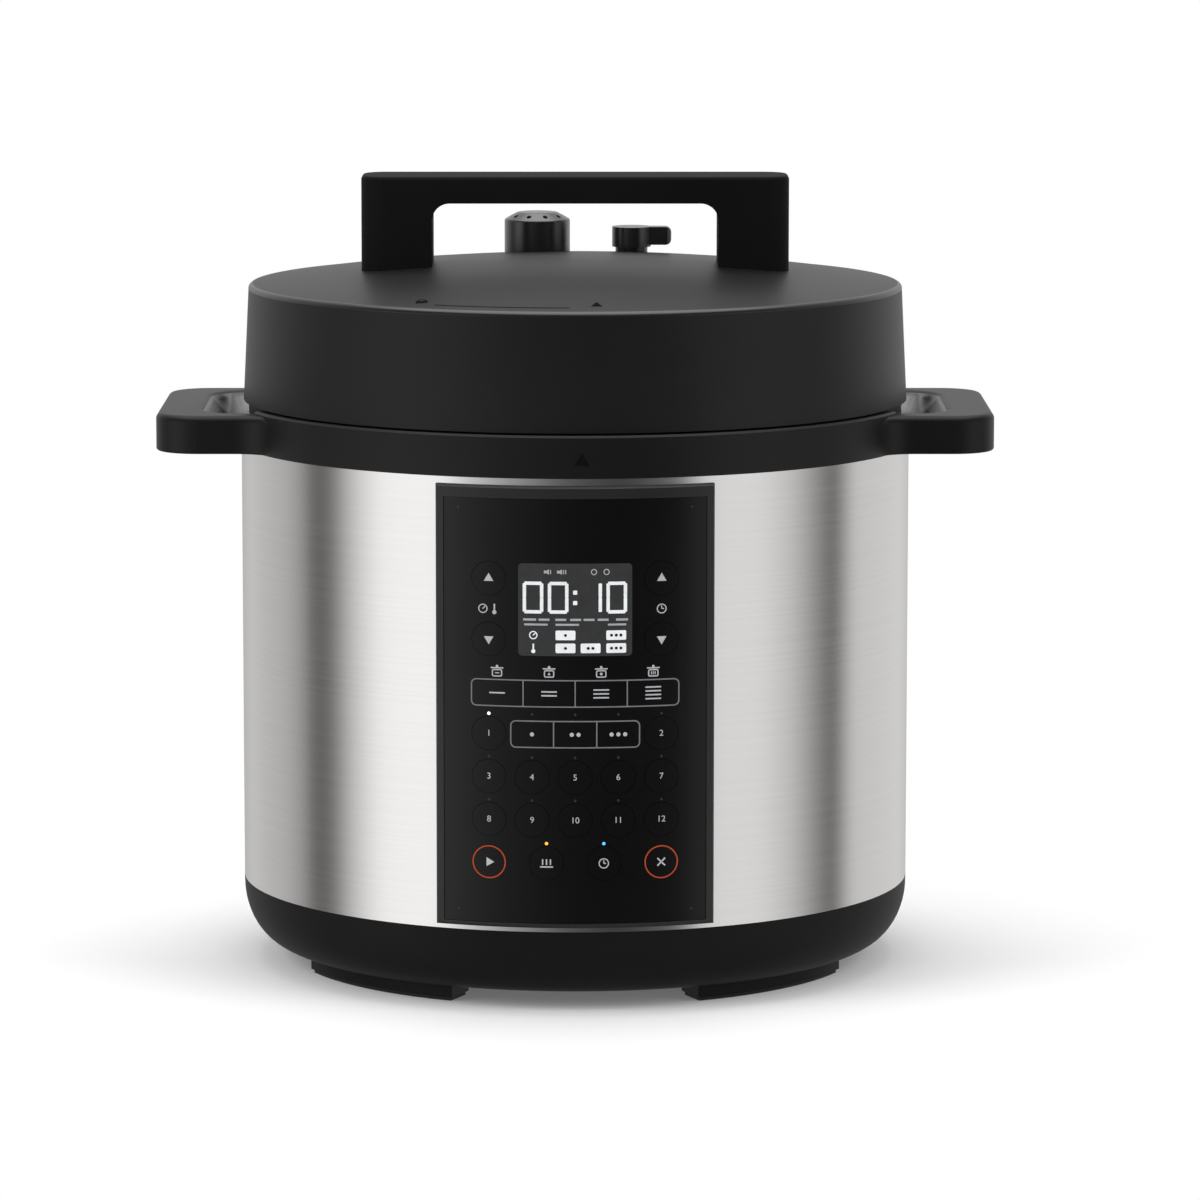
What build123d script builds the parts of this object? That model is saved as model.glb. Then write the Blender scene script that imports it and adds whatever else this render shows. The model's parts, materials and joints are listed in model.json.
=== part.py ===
from build123d import *
import os
from math import cos, degrees, radians, sin, sqrt

# Electric pressure cooker with a bayonet lid, a lift-out pot and a curved key panel.
# Millimetres. Z is up, the front faces -Y, the origin is on the floor under the middle of the body.

# Fits
touch_gap = 0.3  # between pieces that part or turn on each other
fit_gap = 0.1  # between fixed pieces that slip into each other
key_gap = 0.15  # round each key

# Sleeve and base
body_radius = 134.0
sleeve_wall = 0.6
sleeve_height = 175.9
base_height = 33.0
base_land = 2.0
base_floor_radius = 116.2
base_wall = 2.5
lip_wall = 2.0
lip_reach = 6.0
foot_height = 6.4
foot_width = 15.0
foot_inset = 0.4
foot_span = 41.0
pad_thickness = 1.5
pad_margin = 1.0
vent_count = 16
vent_circle = 62.0
vent_length = 30.0
vent_width = 4.0
post_circle = 85.0
post_radius = 5.0
post_count = 4

# Top ring and side handles
rim_height = 16.4
rim_overhang = 1.5
rim_wall = 3.0
rim_edge = 0.8
rim_rib_count = 12
rim_rib_depth = 7.0
collar_rise = 4.7
collar_depth = 12.0
ear_reach = 166.0
ear_half = 54.5
ear_height = 15.1
ear_corner = 17.0
ear_blend = 16.0
ear_edge = 2.5
ear_wall = 2.6
dish_strip = 18.0
dish_half = 43.0
dish_depth = 9.0
dish_slope = 35.0
dish_corner = 18.0
dish_floor_round = 4.0
dish_lip = 5.0
dish_tuck = 2.0
spout_half = 8.0
spout_reach = 14.0
spout_height = 7.0
spout_bore = 2.5

# Liner, heater and pot
insulation_gap = 16.9
liner_wall = 1.5
liner_bend = 8.0
wire_hole_radius = 5.0
wire_hole_circle = 34.0
flange_width = 5.5
lug_count = 6
lug_span = 26.0
lug_reach = 4.8
lug_thickness = 3.0
lug_clearance = 0.8
pot_gap = 3.0
pot_wall = 1.0
pot_floor = 2.4
pot_bend = 14.0
pot_depth = 159.3
pot_flange = 1.2
pot_flange_inset = 1.0
plate_radius = 90.0
plate_bore = 20.0
plate_thickness = 11.0
plate_leg = 6.0
plate_leg_radius = 6.0
plate_leg_circle = 78.0
plate_edge = 2.0
element_inner = 54.0
element_outer = 70.0
element_depth = 3.5
sensor_wall = 1.2
sensor_height = 9.0
sensor_gap = 0.4
sensor_edge = 0.6
spring_radius = 9.0
spring_wire = 1.2
spring_turns = 4

# Power
board_length = 90.0
board_width = 60.0
board_thickness = 1.6
board_stand = 5.0
board_post_radius = 3.0
board_post_inset = 6.0
relay_size = (20.0, 16.0, 16.0)
choke_size = (24.0, 22.0, 18.0)
capacitor_radius = 7.0
capacitor_height = 20.0
inlet_width = 27.0
inlet_height = 18.0
inlet_flange = 2.5
inlet_rim = 2.5
inlet_cut = 4.0
inlet_body_depth = 18.0
inlet_socket_wall = 1.6
inlet_back_wall = 2.0
pin_width = 2.0
pin_height = 4.0
pin_length = 13.0
pin_spread = 5.5
pin_rise = 1.5
pocket_depth = 16.0
pocket_gap = 1.0
pocket_wall = 2.0

# Drip cup
cup_half = 29.5
cup_depth = 26.0
cup_height = 50.0
cup_wall = 1.8
cup_corner = 8.0
cup_flange = 6.0
cup_drop = 9.6
rail_shelf = 3.0
rail_wall = 2.5
rail_height = 9.0
rail_length = 30.0
bracket_half = 40.0
bracket_height = 22.0
bracket_wall = 3.0

# Control panel
panel_half = 54.6
panel_low = 34.8
panel_high = 206.0
panel_proud = 1.8
panel_edge = 0.9
bezel_side = 3.45
bezel_top = 4.8
bezel_bottom = 1.8
film_thickness = 0.5
window_margin = 8.0
plate_back = 2.2
lcd_half = 21.9
lcd_low = 140.6
lcd_high = 176.5
lcd_ledge = 2.0
lcd_frame = 1.5
key_radius = 6.5
key_web = 1.1
key_proud = 0.15
key_thickness = 1.9
key_corner = 1.6
key_margin = 1.0
key_pitch = 16.55
row_pitch = 16.7
row_top = 110.3
mode_pitch = 19.95
mode_height = 9.4
mode_row = 126.1
favourite_height = 9.4
arrow_high = 170.3
arrow_low = 146.8
command_half = 11.0
stem_half = 1.5
switch_half = 3.0
switch_height = 3.0
plunger_half = 1.4
plunger_rise = 0.5
switch_gap = 0.6
circuit_half = 43.5
circuit_low = 45.0
circuit_high = 196.0
circuit_thickness = 1.6
circuit_set_back = 10.5
circuit_post_radius = 2.4
circuit_post_inset = 2.8

# Lid
lid_seam = 0.7
lid_wall_height = 46.0
lid_taper = 2.2
lid_rise = 9.5
lid_edge = 2.0
cover_gap = 0.8
cover_foot = 3.4
cover_wall = 2.5
cover_boss_radius = 4.5
cover_boss_circle = 86.0
cover_boss_count = 4
lid_sheet = 1.2
skirt_lift = 0.5
lid_lug_thickness = 2.2
lug_pass = 1.6
crown_rise = 9.0
crown_inset = 12.0
crown_slope = 6.0
seal_height = 11.9
seal_width = 9.0
seal_groove_depth = 4.4
seal_groove_height = 3.6
seal_lip = 1.5
rack_wire = 2.4
rack_arm_count = 6
rack_arm_width = 5.0
rack_arm_thickness = 1.6
rack_arm_inset = 3.0
handle_half = 85.4
handle_gap_half = 57.0
handle_depth = 32.0
handle_rise = 33.9
handle_bridge = 10.6
handle_inner_corner = 7.0
handle_end = 10.0
handle_edge = 1.5

# Valves on the lid
valve_place = (-15.6, 70.0)
valve_radius = 13.45
valve_rise = 16.4
valve_cone = 3.0
valve_top_radius = 8.0
valve_wall = 2.0
valve_collar = 2.5
valve_hole_count = 10
valve_hole_radius = 1.0
weight_radius = 9.0
weight_low = 1.4
pipe_radius = 5.0
pipe_bore = 2.5
pipe_nut_radius = 8.5
pipe_nut_height = 3.0
pipe_tail = 6.0
pipe_rise = 5.4
shield_radius = 14.0
shield_depth = 12.0
shield_wall = 1.0
shield_hole_count = 10
shield_hole_radius = 1.5
lever_place = (23.2, 70.0)
lever_hub = 6.6
lever_cap = 8.0
lever_lift = 2.3
lever_cap_height = 8.2
lever_cap_edge = 0.8
lever_reach = 16.4
lever_width = 7.0
lever_thickness = 7.4
lever_stem = 3.0
lever_stem_length = 8.0
seat_radius = 6.0
seat_height = 12.5
seat_neck = 4.0
seat_tail = 5.0
seat_bore = 1.2
float_place = (70.0, 45.0)
float_radius = 2.5
float_collar = 4.5
float_collar_height = 1.6
float_seal_radius = 6.0
float_seal_height = 2.5
float_seal_drop = 6.0
float_tail = 3.0
float_sink = 1.0

# Angles from +X
FRONT = -90.0
BACK = 90.0

# Heights that follow from the sizes above
sleeve_top = base_height + sleeve_height
base_floor = foot_height + base_wall
rim_top = sleeve_top + rim_height
ear_top = sleeve_top + ear_height
collar_top = rim_top + collar_rise
liner_top = collar_top + lug_thickness
pot_flange_low = liner_top + touch_gap
pot_top = pot_flange_low + pot_flange
pot_bottom = pot_flange_low - pot_depth
plate_top = pot_bottom - touch_gap
plate_low = plate_top - plate_thickness
liner_floor = plate_low - plate_leg
liner_under = liner_floor - liner_wall
seal_low = pot_top + touch_gap
seal_top = seal_low + seal_height
channel_low = seal_top + touch_gap
channel_top = channel_low + lid_sheet
crown_low = channel_low + crown_rise
crown_top = crown_low + lid_sheet
lid_low = rim_top + lid_seam
lid_shoulder = lid_low + lid_wall_height
lid_top = lid_shoulder + lid_rise
handle_top = lid_top + handle_rise
skirt_low = lid_low + skirt_lift
board_low = base_floor + board_stand
cup_flange_low = sleeve_top - cup_drop
inlet_middle = base_floor + pocket_gap + inlet_height / 2 + pocket_wall

# Radii that follow
sleeve_in = body_radius - sleeve_wall
liner_out = sleeve_in - insulation_gap
liner_in = liner_out - liner_wall
pot_radius = liner_in - pot_gap
flange_radius = liner_out + flange_width
pot_flange_radius = flange_radius - pot_flange_inset
lug_radius = flange_radius + lug_reach
skirt_in = lug_radius + lug_clearance
skirt_out = skirt_in + lid_sheet
cover_in = skirt_out + cover_gap
lid_radius = cover_in + cover_foot
lid_shoulder_radius = lid_radius - lid_taper
dish_in = lid_radius - dish_tuck
lid_lug_in = flange_radius + lug_pass
rim_radius = body_radius + rim_overhang
seal_out = pot_flange_radius
seal_in = seal_out - seal_width
rack_out = seal_in + seal_groove_depth - touch_gap
crown_radius = seal_in - crown_inset
sensor_radius = plate_bore - sensor_gap
foot_outer = base_floor_radius - foot_inset

# Depths of the panel's layers, as radii from the body's middle
shelf_radius = body_radius + panel_proud - 2 * film_thickness
film_in = shelf_radius + fit_gap
film_out = film_in + film_thickness
bezel_out = body_radius + panel_proud
backing_in = sleeve_in - plate_back
window_half = panel_half - window_margin
window_low = panel_low + window_margin
window_high = panel_high - window_margin
film_half = panel_half - bezel_side
film_low = panel_low + bezel_bottom
film_high = panel_high - bezel_top
circuit_front = body_radius - circuit_set_back
switch_front = circuit_front + switch_height + plunger_rise


def outline(*points):
    """A flat face with straight sides."""
    return make_face(Polyline(*points, close=True))


def rounded(profile, radius, *corners):
    """The flat face with the corners nearest to the given points rounded."""
    picked = [profile.vertices().sort_by_distance(corner)[0] for corner in corners]
    return fillet(picked, radius)


def bevelled(profile, size, *corners):
    """The flat face with the corners nearest to the given points cut off."""
    picked = [profile.vertices().sort_by_distance(corner)[0] for corner in corners]
    return chamfer(picked, size)


def spin(profile):
    """A profile of (radius, height) turned once round the upright axis."""
    return revolve(Plane.XZ * profile, Axis.Z)


def band(inner, outer, low, high):
    """The profile of an upright tube wall."""
    return outline((inner, low), (outer, low), (outer, high), (inner, high))


def ring(inner, outer, low, high):
    """An upright tube round the body's axis."""
    return spin(band(inner, outer, low, high))


def sector(inner, outer, low, high, middle, span):
    """A piece of such a tube, centred on an angle from +X."""
    piece = revolve(Plane.XZ * band(inner, outer, low, high), Axis.Z, span)
    return Rot(0, 0, middle - span / 2) * piece


def front_plate(inner, outer, low, high, half_arc):
    """A curved plate on the body's front, as wide as two half arcs on the sleeve."""
    return sector(inner, outer, low, high, FRONT, 2 * degrees(half_arc / body_radius))


def post(place, radius, low, high):
    """An upright round bar."""
    upright = (Align.CENTER, Align.CENTER, Align.MIN)
    return Pos(*place, low) * Cylinder(radius, high - low, align=upright)


def block(low, high):
    """A box between two opposite corners."""
    size = [far - near for near, far in zip(low, high)]
    return Pos(*low) * Box(*size, align=(Align.MIN, Align.MIN, Align.MIN))


def polar(radius, angle):
    """A place on a circle round the body's axis."""
    return (radius * cos(radians(angle)), radius * sin(radians(angle)))


def even_angles(count, first=0.0):
    """Angles of a pattern that is evenly spaced round the body."""
    return [first + 360.0 * index / count for index in range(count)]


def lugs(inner, outer, low, high, first):
    """The teeth of one half of the bayonet."""
    angles = even_angles(lug_count, first)
    return [sector(inner, outer, low, high, angle, lug_span) for angle in angles]


def forward(x, z, face):
    """A bar with the given face, from the body's axis out through the front."""
    return extrude(Plane.XZ * (Pos(x, z) * face), 2 * body_radius)


def save(name, shape):
    """Writes one named piece, or a group of alike pieces."""
    whole = Compound(children=list(shape)) if isinstance(shape, (list, tuple)) else shape
    export_step(whole, os.path.join("parts", name + ".step"))


# Base, feet and sleeve


def base_form():
    """The base's outside, filled in: a quarter ellipse under an upright band."""
    land = base_height - base_land
    middle = (base_floor_radius, land)
    curve = EllipticalCenterArc(middle, body_radius - base_floor_radius, land - foot_height, 270, arc_size=90)
    rest = Polyline(curve @ 1, (body_radius, base_height), (0, base_height), (0, foot_height), curve @ 0)
    return spin(make_face(curve + rest))


def base_hollow():
    """The space inside the base, its corner cut straight."""
    corner = (body_radius - base_wall, base_floor)
    space = outline((0, base_floor), corner, (corner[0], base_height), (0, base_height))
    return spin(bevelled(space, body_radius - base_floor_radius, corner))


def inlet_pocket(grow):
    """The recess at the back that the mains inlet sits in, or the walls round it."""
    half = inlet_width / 2 + pocket_gap + grow
    rise = inlet_height / 2 + pocket_gap + grow
    near = body_radius - pocket_depth - grow
    return block((-half, near, inlet_middle - rise), (half, body_radius + 1, inlet_middle + rise))


def inlet_hole():
    """The way through the recess for the back of the inlet."""
    half = inlet_width / 2 - inlet_rim + fit_gap
    rise = inlet_height / 2 - inlet_rim + fit_gap
    near = body_radius - pocket_depth
    low = (-half, near - inlet_body_depth - fit_gap, inlet_middle - rise)
    return block(low, (half, near + pocket_wall, inlet_middle + rise))


def board_posts():
    """Where the mains board is held."""
    x = board_length / 2 - board_post_inset
    y = board_width / 2 - board_post_inset
    return [(sx * x, sy * y) for sx in (-1, 1) for sy in (-1, 1)]


def base_shell():
    """The moulded base with its feet, vents, posts for the liner and inlet recess."""
    outside = base_form()
    shell = outside - base_hollow()
    lip = sleeve_in - fit_gap
    shell += ring(lip - lip_wall, lip, base_height - lip_reach / 2, base_height + lip_reach)
    shell += (inlet_pocket(pocket_wall) & outside) - inlet_pocket(0)
    shell -= inlet_pocket(0)
    shell -= inlet_hole()
    for angle in even_angles(4, 45):
        foot = sector(foot_outer - foot_width, foot_outer, pad_thickness, foot_height, angle, foot_span)
        shell += foot
    for angle in even_angles(post_count, 45):
        shell += post(polar(post_circle, angle), post_radius, foot_height, liner_under)
    for place in board_posts():
        shell += post(place, board_post_radius, foot_height, board_low)
    slot = extrude(SlotOverall(vent_length, vent_width), 3 * base_wall)
    for angle in even_angles(vent_count, 180 / vent_count):
        shell -= Rot(0, 0, angle) * Pos(vent_circle, 0, foot_height - base_wall) * slot
    return shell


def foot_pads():
    """A rubber pad under each foot."""
    inner = foot_outer - foot_width + pad_margin
    outer = foot_outer - pad_margin
    span = foot_span - 2 * degrees(pad_margin / outer)
    return [sector(inner, outer, 0, pad_thickness, angle, span) for angle in even_angles(4, 45)]


def outer_shell():
    """The steel sleeve, open at the front behind the panel."""
    sleeve = ring(sleeve_in, body_radius, base_height, sleeve_top)
    return sleeve - front_plate(liner_out, rim_radius, window_low, window_high, window_half)


# Top ring with the side handles


def rim_plan(skin):
    """The ring and its handles from above, drawn in by a wall thickness."""
    edge = rim_radius - skin
    half = ear_half - skin
    plan = Circle(edge) + RectangleRounded(2 * (ear_reach - skin), 2 * half, ear_corner - skin)
    meet = sqrt(edge**2 - half**2)
    straight = ear_reach - ear_corner - meet
    corners = [(x * meet, y * half) for x in (-1, 1) for y in (-1, 1)]
    return rounded(plan, min(ear_blend + skin, straight), *corners)


def thumb_dishes():
    """The scoops in the tops of both handles, with a rolled lip, running in under the lid's edge."""
    spread = dish_depth * sin(radians(dish_slope)) / cos(radians(dish_slope))
    far = ear_reach - dish_strip
    floor = RectangleRounded(2 * (far - spread), 2 * (dish_half - spread), dish_corner - spread)
    scoop = extrude(floor, dish_depth, taper=-dish_slope)
    scoop = fillet(scoop.faces().sort_by(Axis.Z)[0].edges(), dish_floor_round)
    opening = RectangleRounded(2 * (far + dish_lip), 2 * (dish_half + dish_lip), dish_corner + dish_lip)
    scoop += Pos(0, 0, dish_depth) * extrude(opening, rim_height)
    underside = scoop.faces().filter_by(Axis.Z).sort_by(Axis.Z)[1]
    scoop = fillet(underside.inner_wires()[0].edges(), dish_lip)
    return Pos(0, 0, ear_top - dish_depth) * scoop - post((0, 0), dish_in, sleeve_top, lid_top)


def dish_jacket():
    """The space that the two dishes and the walls round them take up."""
    far = ear_reach - dish_strip + ear_wall
    half = dish_half + ear_wall
    return block((-far, -half, ear_top - dish_depth - ear_wall), (far, half, ear_top))


def side_handles():
    """Both handles, hollow underneath, outside the ring's wall."""
    grips = extrude(rim_plan(0), ear_height)
    grips = fillet(grips.faces().sort_by(Axis.Z)[-1].edges(), ear_edge)
    grips = fillet(grips.faces().sort_by(Axis.Z)[0].edges(), ear_edge / 2)
    grips = Pos(0, 0, sleeve_top) * grips
    hollow = Pos(0, 0, sleeve_top) * extrude(rim_plan(ear_wall), ear_height - ear_wall)
    hollow -= dish_jacket()
    grips -= hollow - post((0, 0), rim_radius, sleeve_top, ear_top)
    return grips - post((0, 0), rim_radius - rim_wall / 2, sleeve_top, ear_top)


def drain_spout():
    """The spout at the back that drips into the cup."""
    low = sleeve_top + touch_gap
    wall = rim_radius - rim_wall
    outer = rim_radius + spout_reach
    spout = block((-spout_half, wall, low), (spout_half, outer, low + spout_height))
    return spout + block((-spout_half, flange_radius, low), (spout_half, wall + rim_wall / 2, rim_top))


def drain_channel():
    """The way from the ring's top through the spout."""
    low = sleeve_top + touch_gap
    middle = low + spout_height / 2
    inner = flange_radius + rim_wall + spout_bore
    outer = rim_radius + spout_reach - rim_wall - spout_bore
    run = Pos(0, inner, middle) * Rot(-90, 0, 0) * post((0, 0), spout_bore, 0, outer - inner)
    run += post((0, inner), spout_bore, middle, rim_top + 1)
    return run + post((0, outer), spout_bore, low - 1, middle)


def top_rim():
    """The black ring: outer wall, top, collar under the liner's flange, and handles."""
    collar_in = liner_out + fit_gap
    under = rim_top - rim_wall
    profile = outline(
        (rim_radius, sleeve_top),
        (rim_radius, rim_top),
        (flange_radius, rim_top),
        (flange_radius, collar_top),
        (collar_in, collar_top),
        (collar_in, collar_top - collar_depth),
        (collar_in + rim_wall, collar_top - collar_depth),
        (collar_in + rim_wall, under),
        (rim_radius - rim_wall, under),
        (rim_radius - rim_wall, sleeve_top),
    )
    rim = spin(bevelled(profile, rim_edge, (rim_radius, rim_top)))
    lip = sleeve_in - fit_gap
    rim += ring(lip - lip_wall, lip, sleeve_top - lip_reach, sleeve_top + lip_reach)
    rib = block(
        (collar_in + rim_wall / 2, -rim_wall / 2, under - rim_rib_depth),
        (rim_radius - rim_wall / 2, rim_wall / 2, under + rim_wall / 2),
    )
    for angle in even_angles(rim_rib_count, 180 / rim_rib_count):
        rim += Rot(0, 0, angle) * rib
    rim += side_handles()
    rim += dish_jacket() & ring(dish_in - ear_wall, rim_radius, sleeve_top, rim_top)
    rim -= thumb_dishes()
    rim += drain_spout()
    return rim - drain_channel()


# Liner, heater and pot


def liner():
    """The steel outer pot: flanged, with the fixed half of the bayonet."""
    profile = outline(
        (0, liner_under),
        (liner_out, liner_under),
        (liner_out, collar_top),
        (flange_radius, collar_top),
        (flange_radius, liner_top),
        (liner_in, liner_top),
        (liner_in, liner_floor),
        (0, liner_floor),
    )
    shell = spin(bevelled(profile, liner_bend, (liner_out, liner_under), (liner_in, liner_floor)))
    for lug in lugs(flange_radius - liner_wall, lug_radius, collar_top, liner_top, 0):
        shell += lug
    for angle in even_angles(3, 30):
        place = polar(wire_hole_circle, angle)
        shell -= post(place, wire_hole_radius, liner_under - 1, liner_floor + 1)
    return shell


def heating_plate():
    """The cast plate with its raised element ring, on three legs."""
    profile = outline(
        (plate_bore, plate_low),
        (element_inner, plate_low),
        (element_inner + element_depth, plate_low - element_depth),
        (element_outer - element_depth, plate_low - element_depth),
        (element_outer, plate_low),
        (plate_radius, plate_low),
        (plate_radius, plate_top),
        (plate_bore, plate_top),
    )
    plate = spin(bevelled(profile, plate_edge, (plate_radius, plate_top)))
    for angle in even_angles(3, 90):
        plate += post(polar(plate_leg_circle, angle), plate_leg_radius, liner_floor, plate_low + 1)
    return plate


def sensor_cap():
    """The sprung cap in the plate's middle that feels the pot."""
    low = plate_top - sensor_height
    inside = sensor_radius - sensor_wall
    profile = outline(
        (sensor_radius, low),
        (sensor_radius, plate_top),
        (0, plate_top),
        (0, plate_top - sensor_wall),
        (inside, plate_top - sensor_wall),
        (inside, low),
    )
    return spin(bevelled(profile, sensor_edge, (sensor_radius, plate_top)))


def sensor_spring():
    """The square-wire coil between the liner's floor and the sensor cap."""
    low = liner_floor + spring_wire / 2 + fit_gap
    high = plate_top - sensor_wall - spring_wire / 2 - fit_gap
    coil = Helix((high - low) / spring_turns, high - low, spring_radius, center=(0, 0, low))
    section = Plane(origin=coil @ 0, x_dir=(1, 0, 0), z_dir=coil % 0) * Rectangle(spring_wire, spring_wire)
    return sweep(section, path=coil, is_frenet=True)


def inner_pot():
    """The lift-out cooking pot with its flat rim."""
    inside = pot_radius - pot_wall
    floor = pot_bottom + pot_floor
    profile = outline(
        (0, pot_bottom),
        (pot_radius, pot_bottom),
        (pot_radius, pot_flange_low),
        (pot_flange_radius, pot_flange_low),
        (pot_flange_radius, pot_top),
        (inside, pot_top),
        (inside, floor),
        (0, floor),
    )
    profile = rounded(profile, pot_bend, (pot_radius, pot_bottom))
    profile = rounded(profile, pot_bend - pot_wall, (inside, floor))
    return spin(bevelled(profile, pot_flange / 3, (inside, pot_top)))


# Lid


def dome_arc(edge_radius, edge_height):
    """The line of the lid's top from its middle out to its shoulder."""
    ball = (edge_radius**2 + lid_rise**2) / (2 * lid_rise)
    half = edge_radius / 2
    middle = (half, edge_height + lid_rise - ball + sqrt(ball**2 - half**2))
    return ThreePointArc((0, edge_height + lid_rise), middle, (edge_radius, edge_height))


def dome_height(place):
    """The lid's top surface over a place."""
    ball = (lid_shoulder_radius**2 + lid_rise**2) / (2 * lid_rise)
    return lid_top - ball + sqrt(ball**2 - place[0] ** 2 - place[1] ** 2)


def lid_form():
    """The lid's outside, filled in."""
    dome = dome_arc(lid_shoulder_radius, lid_shoulder)
    rest = Polyline(dome @ 1, (lid_radius, lid_low), (0, lid_low), dome @ 0)
    return spin(rounded(make_face(dome + rest), lid_edge, (lid_shoulder_radius, lid_shoulder)))


def lid_hollow():
    """The space inside the lid cover, its ceiling a shallow cone under the dome."""
    edge = (lid_shoulder_radius - cover_wall, lid_shoulder - cover_wall)
    foot = (cover_in, channel_top + cover_wall)
    return spin(outline((0, lid_top - cover_wall), edge, foot, (cover_in, lid_low), (0, lid_low)))


def lid_cover():
    """The domed plastic cover, with bosses that stand on the steel lid and a collar in the knob."""
    outside = lid_form()
    cover = outside - lid_hollow()
    for angle in even_angles(cover_boss_count, 20):
        cover += post(polar(cover_boss_circle, angle), cover_boss_radius, crown_top, lid_top) & outside
    deck = dome_height(valve_place)
    cover += post(valve_place, valve_radius - valve_wall - touch_gap, deck - cover_wall, deck + valve_collar)
    cover -= post(valve_place, weight_radius + touch_gap, crown_top, handle_top)
    cover -= post(lever_place, lever_hub + touch_gap, crown_top, handle_top)
    return cover - post(float_place, float_radius + touch_gap, crown_top, handle_top)


def lid_handle():
    """The arch handle, its feet cut to the dome."""
    opening_height = handle_top - handle_bridge - lid_shoulder
    from_foot = (Align.CENTER, Align.MIN)
    arch = Rectangle(2 * handle_half, handle_top - lid_shoulder, align=from_foot)
    opening = Rectangle(2 * handle_gap_half, opening_height, align=from_foot)
    tops = [(side * handle_gap_half, opening_height) for side in (-1, 1)]
    face = Pos(0, lid_shoulder) * (arch - rounded(opening, handle_inner_corner, *tops))
    grip = extrude(Plane.XZ * face, handle_depth / 2, both=True)
    uprights = grip.edges().filter_by(Axis.Z)
    grip = fillet([edge for edge in uprights if abs(edge.center().X) > handle_gap_half + 1], handle_end)
    grip = fillet(grip.faces().sort_by(Axis.Z)[-1].edges(), handle_edge)
    return grip - lid_form()


def inner_lid():
    """The pressed steel lid: crown, channel over the seal, skirt and its half of the bayonet."""
    foot = crown_radius + crown_slope
    profile = outline(
        (0, crown_low),
        (crown_radius - lid_sheet, crown_low),
        (foot - lid_sheet, channel_low),
        (skirt_in, channel_low),
        (skirt_in, skirt_low),
        (skirt_out, skirt_low),
        (skirt_out, channel_top),
        (foot, channel_top),
        (crown_radius, crown_top),
        (0, crown_top),
    )
    shell = spin(bevelled(profile, lid_sheet, (skirt_out, channel_top)))
    first = 180 / lug_count
    for lug in lugs(lid_lug_in, skirt_out - lid_sheet / 2, skirt_low, skirt_low + lid_lug_thickness, first):
        shell += lug
    shell -= post(valve_place, pipe_radius + fit_gap, channel_low, lid_top)
    shell -= post(lever_place, seat_neck + fit_gap, channel_low, lid_top)
    return shell - post(float_place, float_radius + touch_gap, channel_low, lid_top)


def groove_middle():
    """The height of the seal's groove and of the wire in it."""
    return (seal_low + seal_top) / 2


def sealing_ring():
    """The silicone ring: a lip on the pot's rim and a groove for its wire rack."""
    groove_low = groove_middle() - seal_groove_height / 2
    groove_high = groove_middle() + seal_groove_height / 2
    profile = outline(
        (seal_in, seal_low),
        (seal_out - seal_lip, seal_low),
        (seal_out, seal_low + seal_lip),
        (seal_out, seal_top),
        (seal_in + seal_lip, seal_top),
        (seal_in + seal_lip, groove_high),
        (seal_in + seal_groove_depth, groove_high),
        (seal_in + seal_groove_depth, groove_low),
        (seal_in, groove_low),
    )
    return spin(profile)


def seal_rack():
    """The wire ring in the seal's groove, hung from the steel lid by bent arms."""
    level = groove_middle()
    half = rack_arm_thickness / 2
    rack = ring(rack_out - rack_wire, rack_out, level - rack_wire / 2, level + rack_wire / 2)
    near = seal_in - rack_arm_inset
    far = rack_out - rack_wire / 2
    arm = block((near, -rack_arm_width / 2, level - half), (far, rack_arm_width / 2, level + half))
    hanger = block(
        (near - rack_arm_thickness, -rack_arm_width / 2, level - half),
        (near, rack_arm_width / 2, channel_low),
    )
    for angle in even_angles(rack_arm_count):
        rack += Rot(0, 0, angle) * (arm + hanger)
    return rack


# Valves


def vent_pipe():
    """The steam pipe, nutted to the steel lid under the valve knob."""
    tip = dome_height(valve_place) + pipe_rise
    profile = outline(
        (pipe_bore, crown_low - pipe_tail),
        (pipe_radius, crown_low - pipe_tail),
        (pipe_radius, crown_top),
        (pipe_nut_radius, crown_top),
        (pipe_nut_radius, crown_top + pipe_nut_height),
        (pipe_radius, crown_top + pipe_nut_height),
        (pipe_radius, tip - pipe_bore),
        (pipe_bore, tip),
    )
    return Pos(*valve_place, 0) * spin(profile)


def vent_shield():
    """The strainer cap over the pipe's lower end."""
    low = crown_low - shield_depth
    cap = ring(shield_radius - shield_wall, shield_radius, low, crown_low)
    cap += post((0, 0), shield_radius, low, low + shield_wall)
    for angle in even_angles(shield_hole_count):
        place = polar(shield_radius / 2, angle)
        cap -= post(place, shield_hole_radius, low - 1, low + shield_wall + 1)
    return Pos(*valve_place, 0) * cap


def valve_ceiling():
    """The underside of the valve knob's top, where its weight is held."""
    return dome_height(valve_place) + valve_rise - valve_cone - valve_wall / 2


def valve_cap():
    """The vented knob, its foot cut to the dome."""
    low = lid_shoulder
    high = dome_height(valve_place) + valve_rise - valve_cone
    profile = outline(
        (0, valve_ceiling()),
        (valve_radius - valve_wall, valve_ceiling()),
        (valve_radius - valve_wall, low),
        (valve_radius, low),
        (valve_radius, high),
        (valve_top_radius, high + valve_cone),
        (0, high + valve_cone),
    )
    knob = spin(bevelled(profile, valve_wall / 4, (valve_radius, high)))
    for angle in even_angles(valve_hole_count):
        place = polar((valve_radius + valve_top_radius) / 2, angle)
        knob -= post(place, valve_hole_radius, valve_ceiling() - 1, high + valve_cone + 1)
    return Pos(*valve_place, 0) * knob - Pos(0, 0, touch_gap) * lid_form()


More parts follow.
